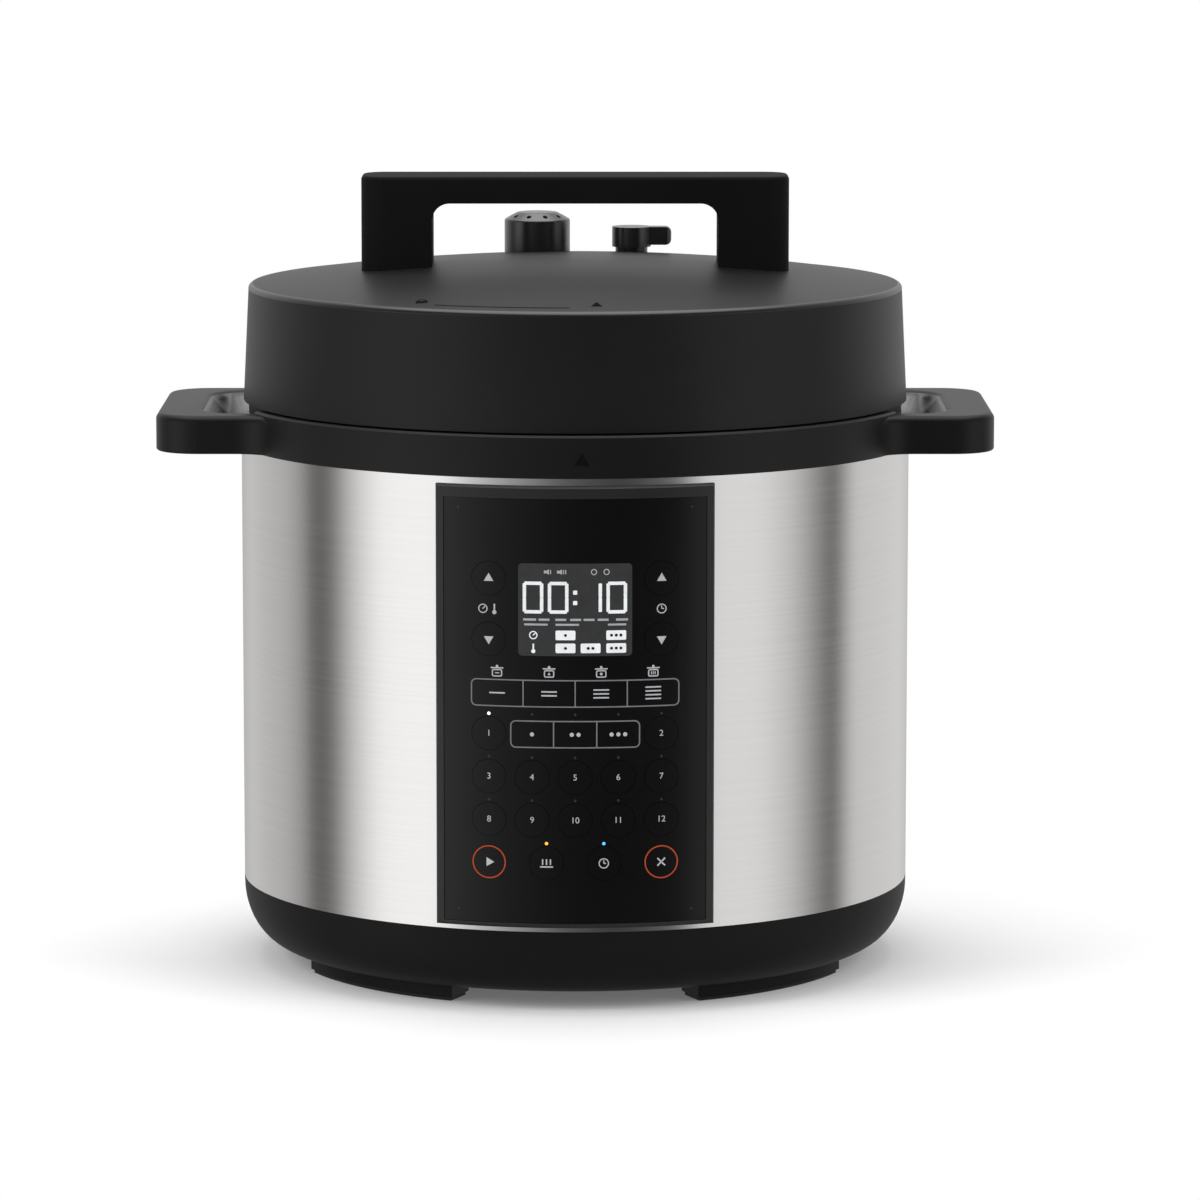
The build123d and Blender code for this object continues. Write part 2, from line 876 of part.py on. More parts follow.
def valve_weight():
    """The steel weight in the knob that closes the pipe."""
    tip = dome_height(valve_place) + pipe_rise + touch_gap
    low = dome_height(valve_place) + weight_low
    bore = pipe_radius + touch_gap
    profile = outline(
        (bore, low),
        (weight_radius, low),
        (weight_radius, valve_ceiling()),
        (0, valve_ceiling()),
        (0, tip),
        (pipe_bore, tip),
        (bore, tip - pipe_bore),
    )
    return Pos(*valve_place, 0) * spin(profile)


def release_valve():
    """The fixed seat on the steel lid that the release lever turns in."""
    bore = lever_stem + fit_gap
    profile = outline(
        (seat_bore, crown_low - seat_tail),
        (seat_neck, crown_low - seat_tail),
        (seat_neck, crown_top),
        (seat_radius, crown_top),
        (seat_radius, crown_top + seat_height),
        (bore, crown_top + seat_height),
        (bore, crown_top + seat_height - lever_stem_length - touch_gap),
        (seat_bore, crown_top + seat_height - lever_stem_length - touch_gap),
    )
    return Pos(*lever_place, 0) * spin(profile)


def steam_release_lever():
    """The turning knob with its finger tab."""
    seat_top = crown_top + seat_height + touch_gap
    low = dome_height(lever_place) + lever_lift
    high = low + lever_cap_height
    profile = outline(
        (0, seat_top - lever_stem_length),
        (lever_stem, seat_top - lever_stem_length),
        (lever_stem, seat_top),
        (lever_hub, seat_top),
        (lever_hub, low),
        (lever_cap, low),
        (lever_cap, high),
        (0, high),
    )
    knob = spin(bevelled(profile, lever_cap_edge, (lever_cap, high), (lever_cap, low)))
    length = lever_reach + lever_width / 2
    tab = extrude(SlotOverall(length, lever_width), lever_thickness)
    tab = chamfer(tab.edges().group_by(Axis.Z)[-1], lever_cap_edge)
    knob += Pos(lever_reach - length / 2, 0, high - lever_thickness) * tab
    return Pos(*lever_place, 0) * knob


def float_pin():
    """The float valve's pin, resting by its collar on the steel lid."""
    rest = crown_top + touch_gap
    profile = outline(
        (0, crown_low - float_seal_drop - float_seal_height - float_tail),
        (float_radius, crown_low - float_seal_drop - float_seal_height - float_tail),
        (float_radius, rest),
        (float_collar, rest),
        (float_collar, rest + float_collar_height),
        (float_radius, rest + float_collar_height),
        (float_radius, dome_height(float_place) - float_sink),
        (0, dome_height(float_place) - float_sink),
    )
    return Pos(*float_place, 0) * spin(profile)


def float_seal():
    """The silicone cup on the pin that closes the lid's hole from below."""
    high = crown_low - float_seal_drop
    return Pos(*float_place, 0) * ring(float_radius, float_seal_radius, high - float_seal_height, high)


# Mains board and inlet


def power_board():
    """The mains board with its relay, choke and capacitor."""
    top = board_low + board_thickness
    x = board_length / 2
    y = board_width / 2
    board = block((-x, -y, board_low), (x, y, top))
    for corner, size in (((-x / 2, -y / 2), relay_size), ((x / 2, -y / 3), choke_size)):
        half = (size[0] / 2, size[1] / 2)
        low = (corner[0] - half[0], corner[1] - half[1], top)
        board += block(low, (corner[0] + half[0], corner[1] + half[1], top + size[2]))
    return board + post((0, y / 2), capacitor_radius, board_low, top + capacitor_height)


def inlet_outline(width, height):
    """The inlet's face: a rectangle with its two lower corners cut."""
    x = width / 2
    z = height / 2
    cut = min(inlet_cut, height / 3)
    return outline((-x, z), (x, z), (x, cut - z), (x - cut, -z), (cut - x, -z), (-x, cut - z))


def inlet_bar(width, height, near, far):
    """A bar of the inlet's outline along Y."""
    bar = extrude(Plane.XZ * inlet_outline(width, height), near - far)
    return Pos(0, near, inlet_middle) * bar


def power_inlet():
    """The recessed mains socket on the base's back."""
    seat = body_radius - pocket_depth
    face = seat + inlet_flange
    rear = seat - inlet_body_depth
    body_width = inlet_width - 2 * inlet_rim
    body_height = inlet_height - 2 * inlet_rim
    socket = inlet_bar(inlet_width, inlet_height, seat, face)
    socket += inlet_bar(body_width, body_height, rear, seat)
    hole_width = body_width - 2 * inlet_socket_wall
    hole_height = body_height - 2 * inlet_socket_wall
    return socket - inlet_bar(hole_width, hole_height, rear + inlet_back_wall, face)


def inlet_pins():
    """The three contact blades in the socket."""
    root = body_radius - pocket_depth - inlet_body_depth + inlet_back_wall
    blade = block((-pin_width / 2, root, -pin_height / 2), (pin_width / 2, root + pin_length, pin_height / 2))
    places = ((-pin_spread, -pin_rise), (0, pin_rise), (pin_spread, -pin_rise))
    return [Pos(x, 0, inlet_middle + z) * blade for x, z in places]


# Drip cup


def cup_front():
    """The side of the cup that faces the body."""
    return body_radius + fit_gap + bracket_wall + touch_gap


def condensate_cup():
    """The drip cup with the two flanges that it slides on."""
    near = cup_front()
    top = cup_flange_low + rail_shelf
    plan = Rectangle(2 * cup_half, cup_depth)
    corners = [(side * cup_half, cup_depth / 2) for side in (-1, 1)]
    outer = rounded(plan, cup_corner, *corners)
    cup = extrude(outer, cup_height)
    inner = rounded(
        Rectangle(2 * (cup_half - cup_wall), cup_depth - 2 * cup_wall),
        cup_corner - cup_wall,
        *[(side * (cup_half - cup_wall), cup_depth / 2 - cup_wall) for side in (-1, 1)],
    )
    cup -= Pos(0, 0, cup_wall) * extrude(inner, cup_height)
    cup = Pos(0, near + cup_depth / 2, top - cup_height) * cup
    for side in (-1, 1):
        edges = sorted((side * (cup_half - cup_wall / 2), side * (cup_half + cup_flange - touch_gap)))
        far = near + cup_depth - cup_corner
        cup += block((edges[0], near, cup_flange_low + touch_gap), (edges[1], far, top))
    return cup


def cup_bracket():
    """The plate on the sleeve's back with the cup's two rails."""
    skin = body_radius + fit_gap
    span = 2 * degrees(bracket_half / body_radius)
    high = cup_flange_low + rail_height
    bracket = sector(skin, skin + bracket_wall, high - bracket_height, high, BACK, span)
    shelf_low = cup_flange_low - rail_shelf
    shelf_in = cup_half + touch_gap
    shelf_out = cup_half + cup_flange
    far = cup_front() + rail_length
    rails = []
    for side in (-1, 1):
        shelf = sorted((side * shelf_in, side * (shelf_out + rail_wall)))
        wall = sorted((side * shelf_out, side * (shelf_out + rail_wall)))
        rails.append(block((shelf[0], liner_out, shelf_low), (shelf[1], far, cup_flange_low)))
        rails.append(block((wall[0], liner_out, shelf_low), (wall[1], far, high)))
    core = post((0, 0), skin, base_height, rim_top)
    for rail in rails:
        bracket += rail - core
    return bracket


# Control panel


def round_key(grow):
    """A round key's face."""
    return Circle(key_radius + grow)


def mode_key(grow):
    """A mode key's face."""
    width = mode_pitch - key_web + 2 * grow
    return RectangleRounded(width, mode_height + 2 * grow, key_corner + grow)


def favourite_key(grow):
    """A favourite key's face."""
    width = key_pitch - key_web + 2 * grow
    return RectangleRounded(width, favourite_height + 2 * grow, key_corner + grow)


def row_height(row):
    """The height of one of the lower key rows, counted from the top."""
    return row_top - row * row_pitch


def key_layout():
    """Each key's name with its place across and up the panel and its face."""
    keys = {}
    for side, name in ((-1, "pressure"), (1, "time")):
        keys[f"key_{name}_up"] = (side * 2 * key_pitch, arrow_high, round_key)
        keys[f"key_{name}_down"] = (side * 2 * key_pitch, arrow_low, round_key)
    for index in range(4):
        keys[f"key_mode_{index + 1}"] = ((index - 1.5) * mode_pitch, mode_row, mode_key)
    for index in range(3):
        keys[f"key_favourite_{index + 1}"] = ((index - 1) * key_pitch, row_height(0), favourite_key)
    programs = [(column, 0) for column in (-2, 2)]
    programs += [(column, row) for row in (1, 2) for column in (-2, -1, 0, 1, 2)]
    for index, (column, row) in enumerate(programs):
        keys[f"key_program_{index + 1:02d}"] = (column * key_pitch, row_height(row), round_key)
    commands = {
        "start": -2 * key_pitch,
        "keep_warm": -command_half,
        "delay": command_half,
        "cancel": 2 * key_pitch,
    }
    for name, x in commands.items():
        keys[f"key_{name}"] = (x, row_height(3), round_key)
    return keys


def key_openings():
    """The slots in the panel's backing behind each row of keys."""
    half = 2 * key_pitch + key_radius + key_margin
    rise = key_radius + key_margin
    slots = [forward(0, row_height(row), Rectangle(2 * half, 2 * rise)) for row in range(4)]
    mode_width = 4 * mode_pitch + 2 * key_margin
    slots.append(forward(0, mode_row, Rectangle(mode_width, mode_height + key_margin)))
    for x in (-2 * key_pitch, 2 * key_pitch):
        for z in (arrow_low, arrow_high):
            slots.append(forward(x, z, Rectangle(2 * rise, 2 * rise)))
    return slots


def lcd_bar(grow):
    """A bar through the display's window, larger or smaller by a margin."""
    size = (2 * (lcd_half + grow), lcd_high - lcd_low + 2 * grow)
    return forward(0, (lcd_low + lcd_high) / 2, Rectangle(*size))


def panel_bezel():
    """The panel's frame and backing, with the posts that carry the control board."""
    frame = front_plate(body_radius + fit_gap, bezel_out, panel_low, panel_high, panel_half)
    outer_face = frame.faces().filter_by(GeomType.CYLINDER).sort_by(SortBy.AREA)[-1]
    frame = chamfer(outer_face.edges(), panel_edge)
    frame -= front_plate(shelf_radius, bezel_out + 1, film_low, film_high, film_half)
    seat = window_half - 2 * fit_gap
    low = window_low + 2 * fit_gap
    high = window_high - 2 * fit_gap
    frame += front_plate(backing_in, shelf_radius, low, high, seat)
    for slot in key_openings():
        frame -= slot
    frame -= lcd_bar(-lcd_ledge)
    x = circuit_half - circuit_post_inset
    reach = sqrt(sleeve_in**2 - (x + circuit_post_radius) ** 2)
    for side in (-1, 1):
        for z in (circuit_low + circuit_post_inset, circuit_high - circuit_post_inset):
            stand = extrude(Plane.XZ * (Pos(side * x, z) * Circle(circuit_post_radius)), reach)
            frame += stand - block((-body_radius, -circuit_front, 0), (body_radius, 0, rim_top))
    return frame


def panel_film():
    """The printed film, cut out round the display and the keys."""
    film = front_plate(film_in, film_out, film_low + fit_gap, film_high - fit_gap, film_half - fit_gap)
    film -= lcd_bar(0)
    for x, z, face in key_layout().values():
        film -= forward(x, z, face(key_gap))
    return film


def display_lens():
    """The curved clear window over the display."""
    sheet = front_plate(film_in, film_out, lcd_low - 1, lcd_high + 1, panel_half)
    return sheet & lcd_bar(-fit_gap)


def display_module():
    """The display on the control board, just behind the window."""
    half = lcd_half + lcd_frame
    front = sqrt(backing_in**2 - half**2) - touch_gap
    return block((-half, -front, lcd_low - lcd_frame), (half, -circuit_front, lcd_high + lcd_frame))


def control_board():
    """The control board behind the panel."""
    front = -circuit_front
    return block((-circuit_half, front, circuit_low), (circuit_half, front + circuit_thickness, circuit_high))


def key_switches():
    """A small push switch on the board behind each key."""
    switches = []
    for x, z, _ in key_layout().values():
        root = -circuit_front
        top = root - switch_height
        case = block((x - switch_half, top, z - switch_half), (x + switch_half, root, z + switch_half))
        nub = (x - plunger_half, top - plunger_rise, z - plunger_half)
        switches.append(case + block(nub, (x + plunger_half, top, z + plunger_half)))
    return switches


def key(x, z, face, skin):
    """One key: a curved cap level with the film, and a stem to its switch."""
    cap = forward(x, z, face(0)) & skin
    root = sqrt(film_in**2 - (abs(x) + stem_half) ** 2)
    low = (x - stem_half, -root, z - stem_half)
    return cap + block(low, (x + stem_half, -switch_front - switch_gap, z + stem_half))


def key_skin():
    """The curved layer that every key's cap is cut from."""
    return front_plate(film_out - key_thickness, film_out + key_proud, film_low, film_high, film_half)


os.makedirs("parts", exist_ok=True)
pieces = {
    "base_shell": base_shell,
    "foot_pads": foot_pads,
    "outer_shell": outer_shell,
    "top_rim": top_rim,
    "liner": liner,
    "heating_plate": heating_plate,
    "sensor_cap": sensor_cap,
    "sensor_spring": sensor_spring,
    "inner_pot": inner_pot,
    "sealing_ring": sealing_ring,
    "seal_rack": seal_rack,
    "inner_lid": inner_lid,
    "lid_cover": lid_cover,
    "lid_handle": lid_handle,
    "vent_pipe": vent_pipe,
    "vent_shield": vent_shield,
    "valve_cap": valve_cap,
    "valve_weight": valve_weight,
    "release_valve": release_valve,
    "steam_release_lever": steam_release_lever,
    "float_pin": float_pin,
    "float_seal": float_seal,
    "power_board": power_board,
    "power_inlet": power_inlet,
    "inlet_pins": inlet_pins,
    "condensate_cup": condensate_cup,
    "cup_bracket": cup_bracket,
    "panel_bezel": panel_bezel,
    "panel_film": panel_film,
    "display_lens": display_lens,
    "display_module": display_module,
    "control_board": control_board,
    "key_switches": key_switches,
}
for piece_name, make_piece in pieces.items():
    save(piece_name, make_piece())
skin_of_keys = key_skin()
for key_name, (key_x, key_z, key_face) in key_layout().items():
    save(key_name, key(key_x, key_z, key_face, skin_of_keys))
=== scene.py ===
import json
from math import cos, hypot, pi, radians, sin

import bpy
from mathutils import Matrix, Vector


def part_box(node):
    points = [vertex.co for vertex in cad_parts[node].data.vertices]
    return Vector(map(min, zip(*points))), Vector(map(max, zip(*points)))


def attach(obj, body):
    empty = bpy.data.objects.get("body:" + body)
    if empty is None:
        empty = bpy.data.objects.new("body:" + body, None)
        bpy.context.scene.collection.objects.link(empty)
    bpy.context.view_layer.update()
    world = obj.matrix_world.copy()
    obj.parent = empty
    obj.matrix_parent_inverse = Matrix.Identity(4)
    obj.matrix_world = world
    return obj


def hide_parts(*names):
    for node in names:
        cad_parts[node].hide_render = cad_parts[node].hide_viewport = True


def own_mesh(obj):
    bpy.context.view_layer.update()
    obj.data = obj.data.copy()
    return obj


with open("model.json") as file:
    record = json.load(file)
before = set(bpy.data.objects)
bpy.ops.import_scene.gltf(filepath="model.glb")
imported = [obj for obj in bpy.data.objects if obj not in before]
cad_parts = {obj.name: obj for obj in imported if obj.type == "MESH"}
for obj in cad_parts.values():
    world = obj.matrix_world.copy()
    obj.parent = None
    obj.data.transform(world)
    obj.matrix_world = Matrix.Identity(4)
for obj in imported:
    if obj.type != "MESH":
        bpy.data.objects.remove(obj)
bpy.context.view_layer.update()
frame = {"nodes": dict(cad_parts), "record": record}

# Electric pressure cooker: finishes, printed panel, marks, lid's edge, knobs, coil, screws, light and camera.
# Metres. Z is up, the front faces -Y, as in the frame.

nodes = frame["nodes"]
mm = 0.001

# Sizes of the prints
paper = 200 * mm  # prints are drawn flat this far in front of the middle, then laid on
sky_paper = 400 * mm  # and this far up for those on the lid
print_lift = 0.01 * mm
print_thickness = 0.05 * mm
print_step = 2.0 * mm
letter_size = 1.4  # text size for figures one unit high
line_width = 0.5 * mm
fine_line = 0.4 * mm
key_stroke = 0.55 * mm
key_gap = 0.15 * mm
key_inset = 0.03 * mm
frame_corner = 2.1 * mm
mode_sign_rise = 8.2 * mm
led_rise = 7.7 * mm
led_radius = 0.5 * mm
lit_radius = 0.625 * mm
drum_height = 400 * mm
drum_middle = 150 * mm
drum_sides = 720
ring_radius = 135.5 * mm
# the ring's triangle is a recess, drawn flat; its black is painted shade
ring_mark_side = 2.6 * mm
ring_mark_rise = 9.6 * mm
ring_mark_size = 3.4 * mm
lid_mark_radius = 118 * mm
lid_arc_radius = 123 * mm
lid_arc_width = 0.9 * mm
pot_inside = 111.3 * mm
pot_line_radius = 110.9 * mm

# Sizes of the lid's rounded edge
dome_radius = 905 * mm
lid_wall_height = 46 * mm
lid_taper = 2.2 * mm
edge_rounding = 1.65 * mm
edge_margin = 0.1 * mm
edge_lift = 0.03 * mm
edge_skin = 0.25 * mm

# Sizes of the knobs, the coil and the screws
spare = 1.0 * mm  # extra length that a cut or a join takes up again
knob_cone = 3.0 * mm
knob_top_radius = 8.0 * mm
knob_wall = 2.0 * mm
knob_depth = 12.1 * mm
knob_edge = 0.6 * mm
foot_drop = 0.35 * mm  # closes the knob's gap over the dome to a hair
vent_hole_radius = 1.0 * mm
vent_hole_count = 10
lever_cap_radius = 8.0 * mm
lever_cap_height = 8.2 * mm
lever_hub_radius = 6.6 * mm
lever_stem_radius = 3.0 * mm
lever_stem_length = 8.0 * mm
lever_tab_width = 7.0 * mm
lever_tab_height = 7.4 * mm
lever_tab_corner = 2.4 * mm
lever_edge = 0.5 * mm
coil_wire = 1.2 * mm
coil_turns = 4
coil_steps = 36
screw_count = 4
screw_circle = 85 * mm
screw_radius = 3.4 * mm
screw_height = 1.8 * mm
screw_edge = 0.5 * mm
screw_seat = 4.9 * mm  # height of the seats over the lowest point of the base

# Sizes and shine of the scoops in the side handles
# A box round each scoop, by the distance from the middle along each axis
scoop_box = (("X", 131.3 * mm, 152 * mm), ("Y", -1 * mm, 46.5 * mm), ("Z", 212.5 * mm, 223.2 * mm))
scoop_rough = 0.3
scoop_specular = 1.0
ring_specular = 0.25
corner_start = 144.5 * mm
corner_end = 138 * mm
wall_start = -0.1  # faces that look at least this far to the front belong to the far wall
wall_full = -0.4  # and those from here on do so in full
wall_direction = (0, -0.82, 0.57, 1)  # square to the far wall of a scoop
corner_coat = 1.8
corner_coat_rough = 0.25


# Finishes

all_ways = (1, 1, 1)
round_lines = (4, 4, 1100)  # brush lines round the body
pin_lines = (700, 3, 3)  # brush lines along the contact pins


def fresh_material(name):
    """A new node material with its shader."""
    material = bpy.data.materials.new(name)
    material.use_nodes = True
    return material, material.node_tree.nodes["Principled BSDF"]


def add_node(owner, kind, **values):
    """A node of a material or of the world, with its settings and the values on its sockets."""
    node = owner.node_tree.nodes.new(kind)
    for name, value in values.items():
        socket = name.replace("_", " ")
        if socket in node.inputs:
            node.inputs[socket].default_value = value
        else:
            setattr(node, name, value)
    return node


def join_up(owner, source, output, target, socket):
    """A link between two nodes."""
    owner.node_tree.links.new(source.outputs[output], target.inputs[socket])


def set_shader(shader, **values):
    """Values that are the same all over the surface."""
    for name, value in values.items():
        shader.inputs[name.replace("_", " ")].default_value = value


def speckle(material, stretch, scale, detail=3.0):
    """Noise on the piece's own coordinates, drawn out along some axes."""
    place = add_node(material, "ShaderNodeTexCoord")
    mapping = add_node(material, "ShaderNodeMapping", Scale=stretch)
    noise = add_node(material, "ShaderNodeTexNoise", Scale=scale, Detail=detail)
    join_up(material, place, "Object", mapping, "Vector")
    join_up(material, mapping, "Vector", noise, "Vector")
    return noise


def tint_between(material, shader, noise, dark, light):
    """The base colour, between two shades that meet in the middle of the noise."""
    ramp = add_node(material, "ShaderNodeValToRGB")
    for stop, position, colour in zip(ramp.color_ramp.elements, (0.35, 0.65), (dark, light)):
        stop.position = position
        stop.color = (*colour, 1)
    join_up(material, noise, "Fac", ramp, "Fac")
    join_up(material, ramp, "Color", shader, "Base Color")


def shades(colour, low, high):
    """A darker and a lighter shade of a colour."""
    return [part * low for part in colour], [part * high for part in colour]


def roughen_between(material, shader, noise, low, high):
    """The roughness, between two values."""
    span = add_node(material, "ShaderNodeMapRange", To_Min=low, To_Max=high)
    join_up(material, noise, "Fac", span, "Value")
    join_up(material, span, "Result", shader, "Roughness")


def grain(material, shader, noise, strength, depth):
    """Fine relief from the noise."""
    bump = add_node(material, "ShaderNodeBump", Strength=strength, Distance=depth)
    join_up(material, noise, "Fac", bump, "Height")
    join_up(material, bump, "Normal", shader, "Normal")


def moulded(name, shade, rough, relief=0.2, grain_scale=2600, specular=0.3):
    """Moulded plastic with a fine eroded grain, a little cloudy in colour and gloss."""
    material, shader = fresh_material(name)
    cloud = speckle(material, all_ways, 14)
    fine = speckle(material, all_ways, grain_scale, 2.0)
    tint_between(material, shader, cloud, *shades(shade, 0.88, 1.12))
    roughen_between(material, shader, cloud, rough - 0.03, rough + 0.03)
    grain(material, shader, fine, relief, 0.05 * mm)
    set_shader(shader, Specular_IOR_Level=specular)
    return material


def lacquered(material, weight, rough):
    """Adds a coat of clear lacquer."""
    set_shader(material.node_tree.nodes["Principled BSDF"], Coat_Weight=weight, Coat_Roughness=rough)
    return material


def steel(name, shade, rough, stretch, relief=0.008, spread=0.02, scale=1.0):
    """Metal with fine brush lines, which run along the axes with the smaller stretch."""
    material, shader = fresh_material(name)
    lines = speckle(material, stretch, scale, 4.0)
    tint_between(material, shader, lines, *shades(shade, 0.985, 1.015))
    roughen_between(material, shader, lines, rough - spread, rough + spread)
    grain(material, shader, lines, relief, 0.03 * mm)
    set_shader(shader, Metallic=1.0)
    return material


def both(material, first, second):
    """The product of two nodes' values."""
    product = add_node(material, "ShaderNodeMath", operation="MULTIPLY")
    join_up(material, first, 0, product, 0)
    join_up(material, second, 0, product, 1)
    return product


def flat_corners(material, shader, split, inside):
    """Turns the shading in the scoops' far corners to the front, so that they shine as a flat wall would."""
    moulded_normal = shader.inputs["Normal"].links[0].from_node
    shape = add_node(material, "ShaderNodeNewGeometry")
    faces = add_node(material, "ShaderNodeSeparateXYZ")
    towards = add_node(material, "ShaderNodeMapRange", From_Min=wall_start, From_Max=wall_full)
    size = add_node(material, "ShaderNodeMath", operation="ABSOLUTE")
    corner = add_node(material, "ShaderNodeMapRange", From_Min=corner_start, From_Max=corner_end)
    share = both(material, both(material, towards, corner), inside)
    turned = add_node(material, "ShaderNodeMixRGB", Color2=wall_direction)
    join_up(material, shape, "Normal", faces, 0)
    join_up(material, faces, "Y", towards, "Value")
    join_up(material, split, "X", size, 0)
    join_up(material, size, 0, corner, "Value")
    join_up(material, share, 0, turned, "Fac")
    join_up(material, moulded_normal, "Normal", turned, "Color1")
    join_up(material, turned, "Color", shader, "Normal")
    join_up(material, turned, "Color", shader, "Coat Normal")
    join_up(material, share, 0, shader, "Coat Weight")
    set_shader(shader, Coat_IOR=corner_coat, Coat_Roughness=corner_coat_rough)


def polished_scoops(material):
    """Gives the scoops in the side handles a polish that the rest of the moulding lacks."""
    shader = material.node_tree.nodes["Principled BSDF"]
    place = add_node(material, "ShaderNodeTexCoord")
    split = add_node(material, "ShaderNodeSeparateXYZ")
    join_up(material, place, "Object", split, 0)
    inside = None
    for axis, low, high in scoop_box:
        size = add_node(material, "ShaderNodeMath", operation="ABSOLUTE")
        within = add_node(material, "ShaderNodeMath", operation="COMPARE")
        within.inputs[1].default_value = (low + high) / 2
        within.inputs[2].default_value = (high - low) / 2
        join_up(material, split, axis, size, 0)
        join_up(material, size, 0, within, 0)
        inside = both(material, inside, within) if inside else within
    gloss = add_node(material, "ShaderNodeMapRange", To_Min=ring_specular, To_Max=scoop_specular)
    join_up(material, inside, 0, gloss, "Value")
    join_up(material, gloss, "Result", shader, "Specular IOR Level")
    moulded_rough = shader.inputs["Roughness"].links[0].from_node
    polish = add_node(material, "ShaderNodeMapRange", To_Max=scoop_rough)
    join_up(material, inside, 0, polish, "Value")
    join_up(material, moulded_rough, "Result", polish, "To Min")
    join_up(material, polish, "Result", shader, "Roughness")
    flat_corners(material, shader, split, inside)
    return material


def satin_inside(material, radius, rough):
    """Gives a pot's inside a duller brush than its outside, by the distance from the middle line."""
    shader = material.node_tree.nodes["Principled BSDF"]
    brushed = shader.inputs["Roughness"].links[0].from_node
    place = add_node(material, "ShaderNodeTexCoord")
    flat = add_node(material, "ShaderNodeVectorMath", operation="MULTIPLY")
    flat.inputs[1].default_value = (1, 1, 0)
    length = add_node(material, "ShaderNodeVectorMath", operation="LENGTH")
    inside = add_node(material, "ShaderNodeMath", operation="LESS_THAN")
    inside.inputs[1].default_value = radius
    satin = add_node(material, "ShaderNodeMapRange", To_Max=rough)
    join_up(material, place, "Object", flat, 0)
    join_up(material, flat, "Vector", length, 0)
    join_up(material, length, "Value", inside, 0)
    join_up(material, inside, 0, satin, "Value")
    join_up(material, brushed, "Result", satin, "To Min")
    join_up(material, satin, "Result", shader, "Roughness")
    return material


def soft_rubber(name, shade, rough, through=0.0):
    """Silicone or rubber with a dull, slightly cloudy surface."""
    material, shader = fresh_material(name)
    cloud = speckle(material, all_ways, 60)
    tint_between(material, shader, cloud, *shades(shade, 0.92, 1.06))
    roughen_between(material, shader, cloud, rough - 0.06, rough + 0.06)
    grain(material, shader, cloud, 0.15, 0.1 * mm)
    set_shader(shader, Subsurface_Weight=through, Subsurface_Scale=4 * mm)
    return material


def ink(name, shade, glow=0.0, shine=0.2):
    """Print, or a lamp behind the film that lights it up."""
    material, shader = fresh_material(name)
    cloud = speckle(material, all_ways, 300)
    tint_between(material, shader, cloud, *shades(shade, 0.92, 1.04))
    roughen_between(material, shader, cloud, 0.4, 0.5)
    set_shader(shader, Emission_Color=(*shade, 1), Emission_Strength=glow, Specular_IOR_Level=shine)
    return material


def circuit_green(name):
    """A lacquered board with darker and lighter tracks."""
    material, shader = fresh_material(name)
    place = add_node(material, "ShaderNodeTexCoord")
    dark = (0.015, 0.12, 0.05, 1)
    light = (0.02, 0.16, 0.07, 1)
    gaps = (0.05, 0.28, 0.12, 1)
    tracks = add_node(material, "ShaderNodeTexBrick", Scale=90.0, Color1=dark, Color2=light, Mortar=gaps)
    join_up(material, place, "Object", tracks, "Vector")
    join_up(material, tracks, "Color", shader, "Base Color")
    set_shader(shader, Roughness=0.35)
    return material


def cup_clear(name):
    """Cloudy see-through plastic."""
    material, shader = fresh_material(name)
    cloud = speckle(material, all_ways, 40)
    tint_between(material, shader, cloud, (0.72, 0.74, 0.75), (0.82, 0.84, 0.85))
    roughen_between(material, shader, cloud, 0.22, 0.32)
    set_shader(shader, Transmission_Weight=0.75, IOR=1.46)
    return material


finishes = {
    "black_plastic": moulded("black_plastic", (0.008, 0.008, 0.0082), 0.42, specular=0.25),
    "lid_plastic": moulded("lid_plastic", (0.0095, 0.0094, 0.0094), 0.42),
    "gloss_black": lacquered(
        moulded("gloss_black", (0.008, 0.008, 0.0083), 0.28, relief=0.05, grain_scale=1800, specular=0.8),
        weight=0.6,
        rough=0.34,
    ),
    "bezel_plastic": moulded("bezel_plastic", (0.021, 0.021, 0.0212), 0.34),
    "panel_black": moulded("panel_black", (0.0042, 0.0043, 0.0048), 0.2, relief=0.03, grain_scale=900),
    "command_key": moulded("command_key", (0.0045, 0.0045, 0.0048), 0.22, relief=0.03, grain_scale=900),
    "display_glass": moulded("display_glass", (0.0045, 0.0046, 0.005), 0.2, relief=0.03, grain_scale=900),
    "display_face": moulded("display_face", (0.024, 0.026, 0.028), 0.3),
    "sleeve_steel": steel("sleeve_steel", (0.79, 0.775, 0.765), 0.2, round_lines),
    "inner_steel": steel("inner_steel", (0.66, 0.655, 0.65), 0.42, round_lines),
    "pot_steel": satin_inside(steel("pot_steel", (0.74, 0.735, 0.73), 0.2, round_lines), pot_inside, 0.45),
    "cast_plate": steel("cast_plate", (0.48, 0.48, 0.48), 0.5, all_ways, relief=0.3, spread=0.05, scale=900),
    "silicone": soft_rubber("silicone", (0.66, 0.66, 0.63), 0.5, through=0.2),
    "pad_rubber": soft_rubber("pad_rubber", (0.014, 0.014, 0.014), 0.75),
    "circuit_board": circuit_green("circuit_board"),
    "switch_plastic": moulded("switch_plastic", (0.06, 0.06, 0.06), 0.45),
    "contact_brass": steel("contact_brass", (0.68, 0.52, 0.22), 0.25, pin_lines),
    "cup_plastic": cup_clear("cup_plastic"),
}
ring_plastic = polished_scoops(moulded("ring_plastic", (0.008, 0.008, 0.0082), 0.42))
handle_plastic = moulded("handle_plastic", (0.0085, 0.0084, 0.0084), 0.55, specular=0.03)
edge_plastic = moulded("edge_plastic", (0.0095, 0.0094, 0.0094), 0.3, relief=0.05, specular=0.8)
base_plastic = moulded("base_plastic", (0.008, 0.008, 0.0082), 0.5, specular=0.12)
screw_zinc = steel("screw_zinc", (0.5, 0.5, 0.49), 0.35, all_ways, relief=0.1, spread=0.05, scale=700)
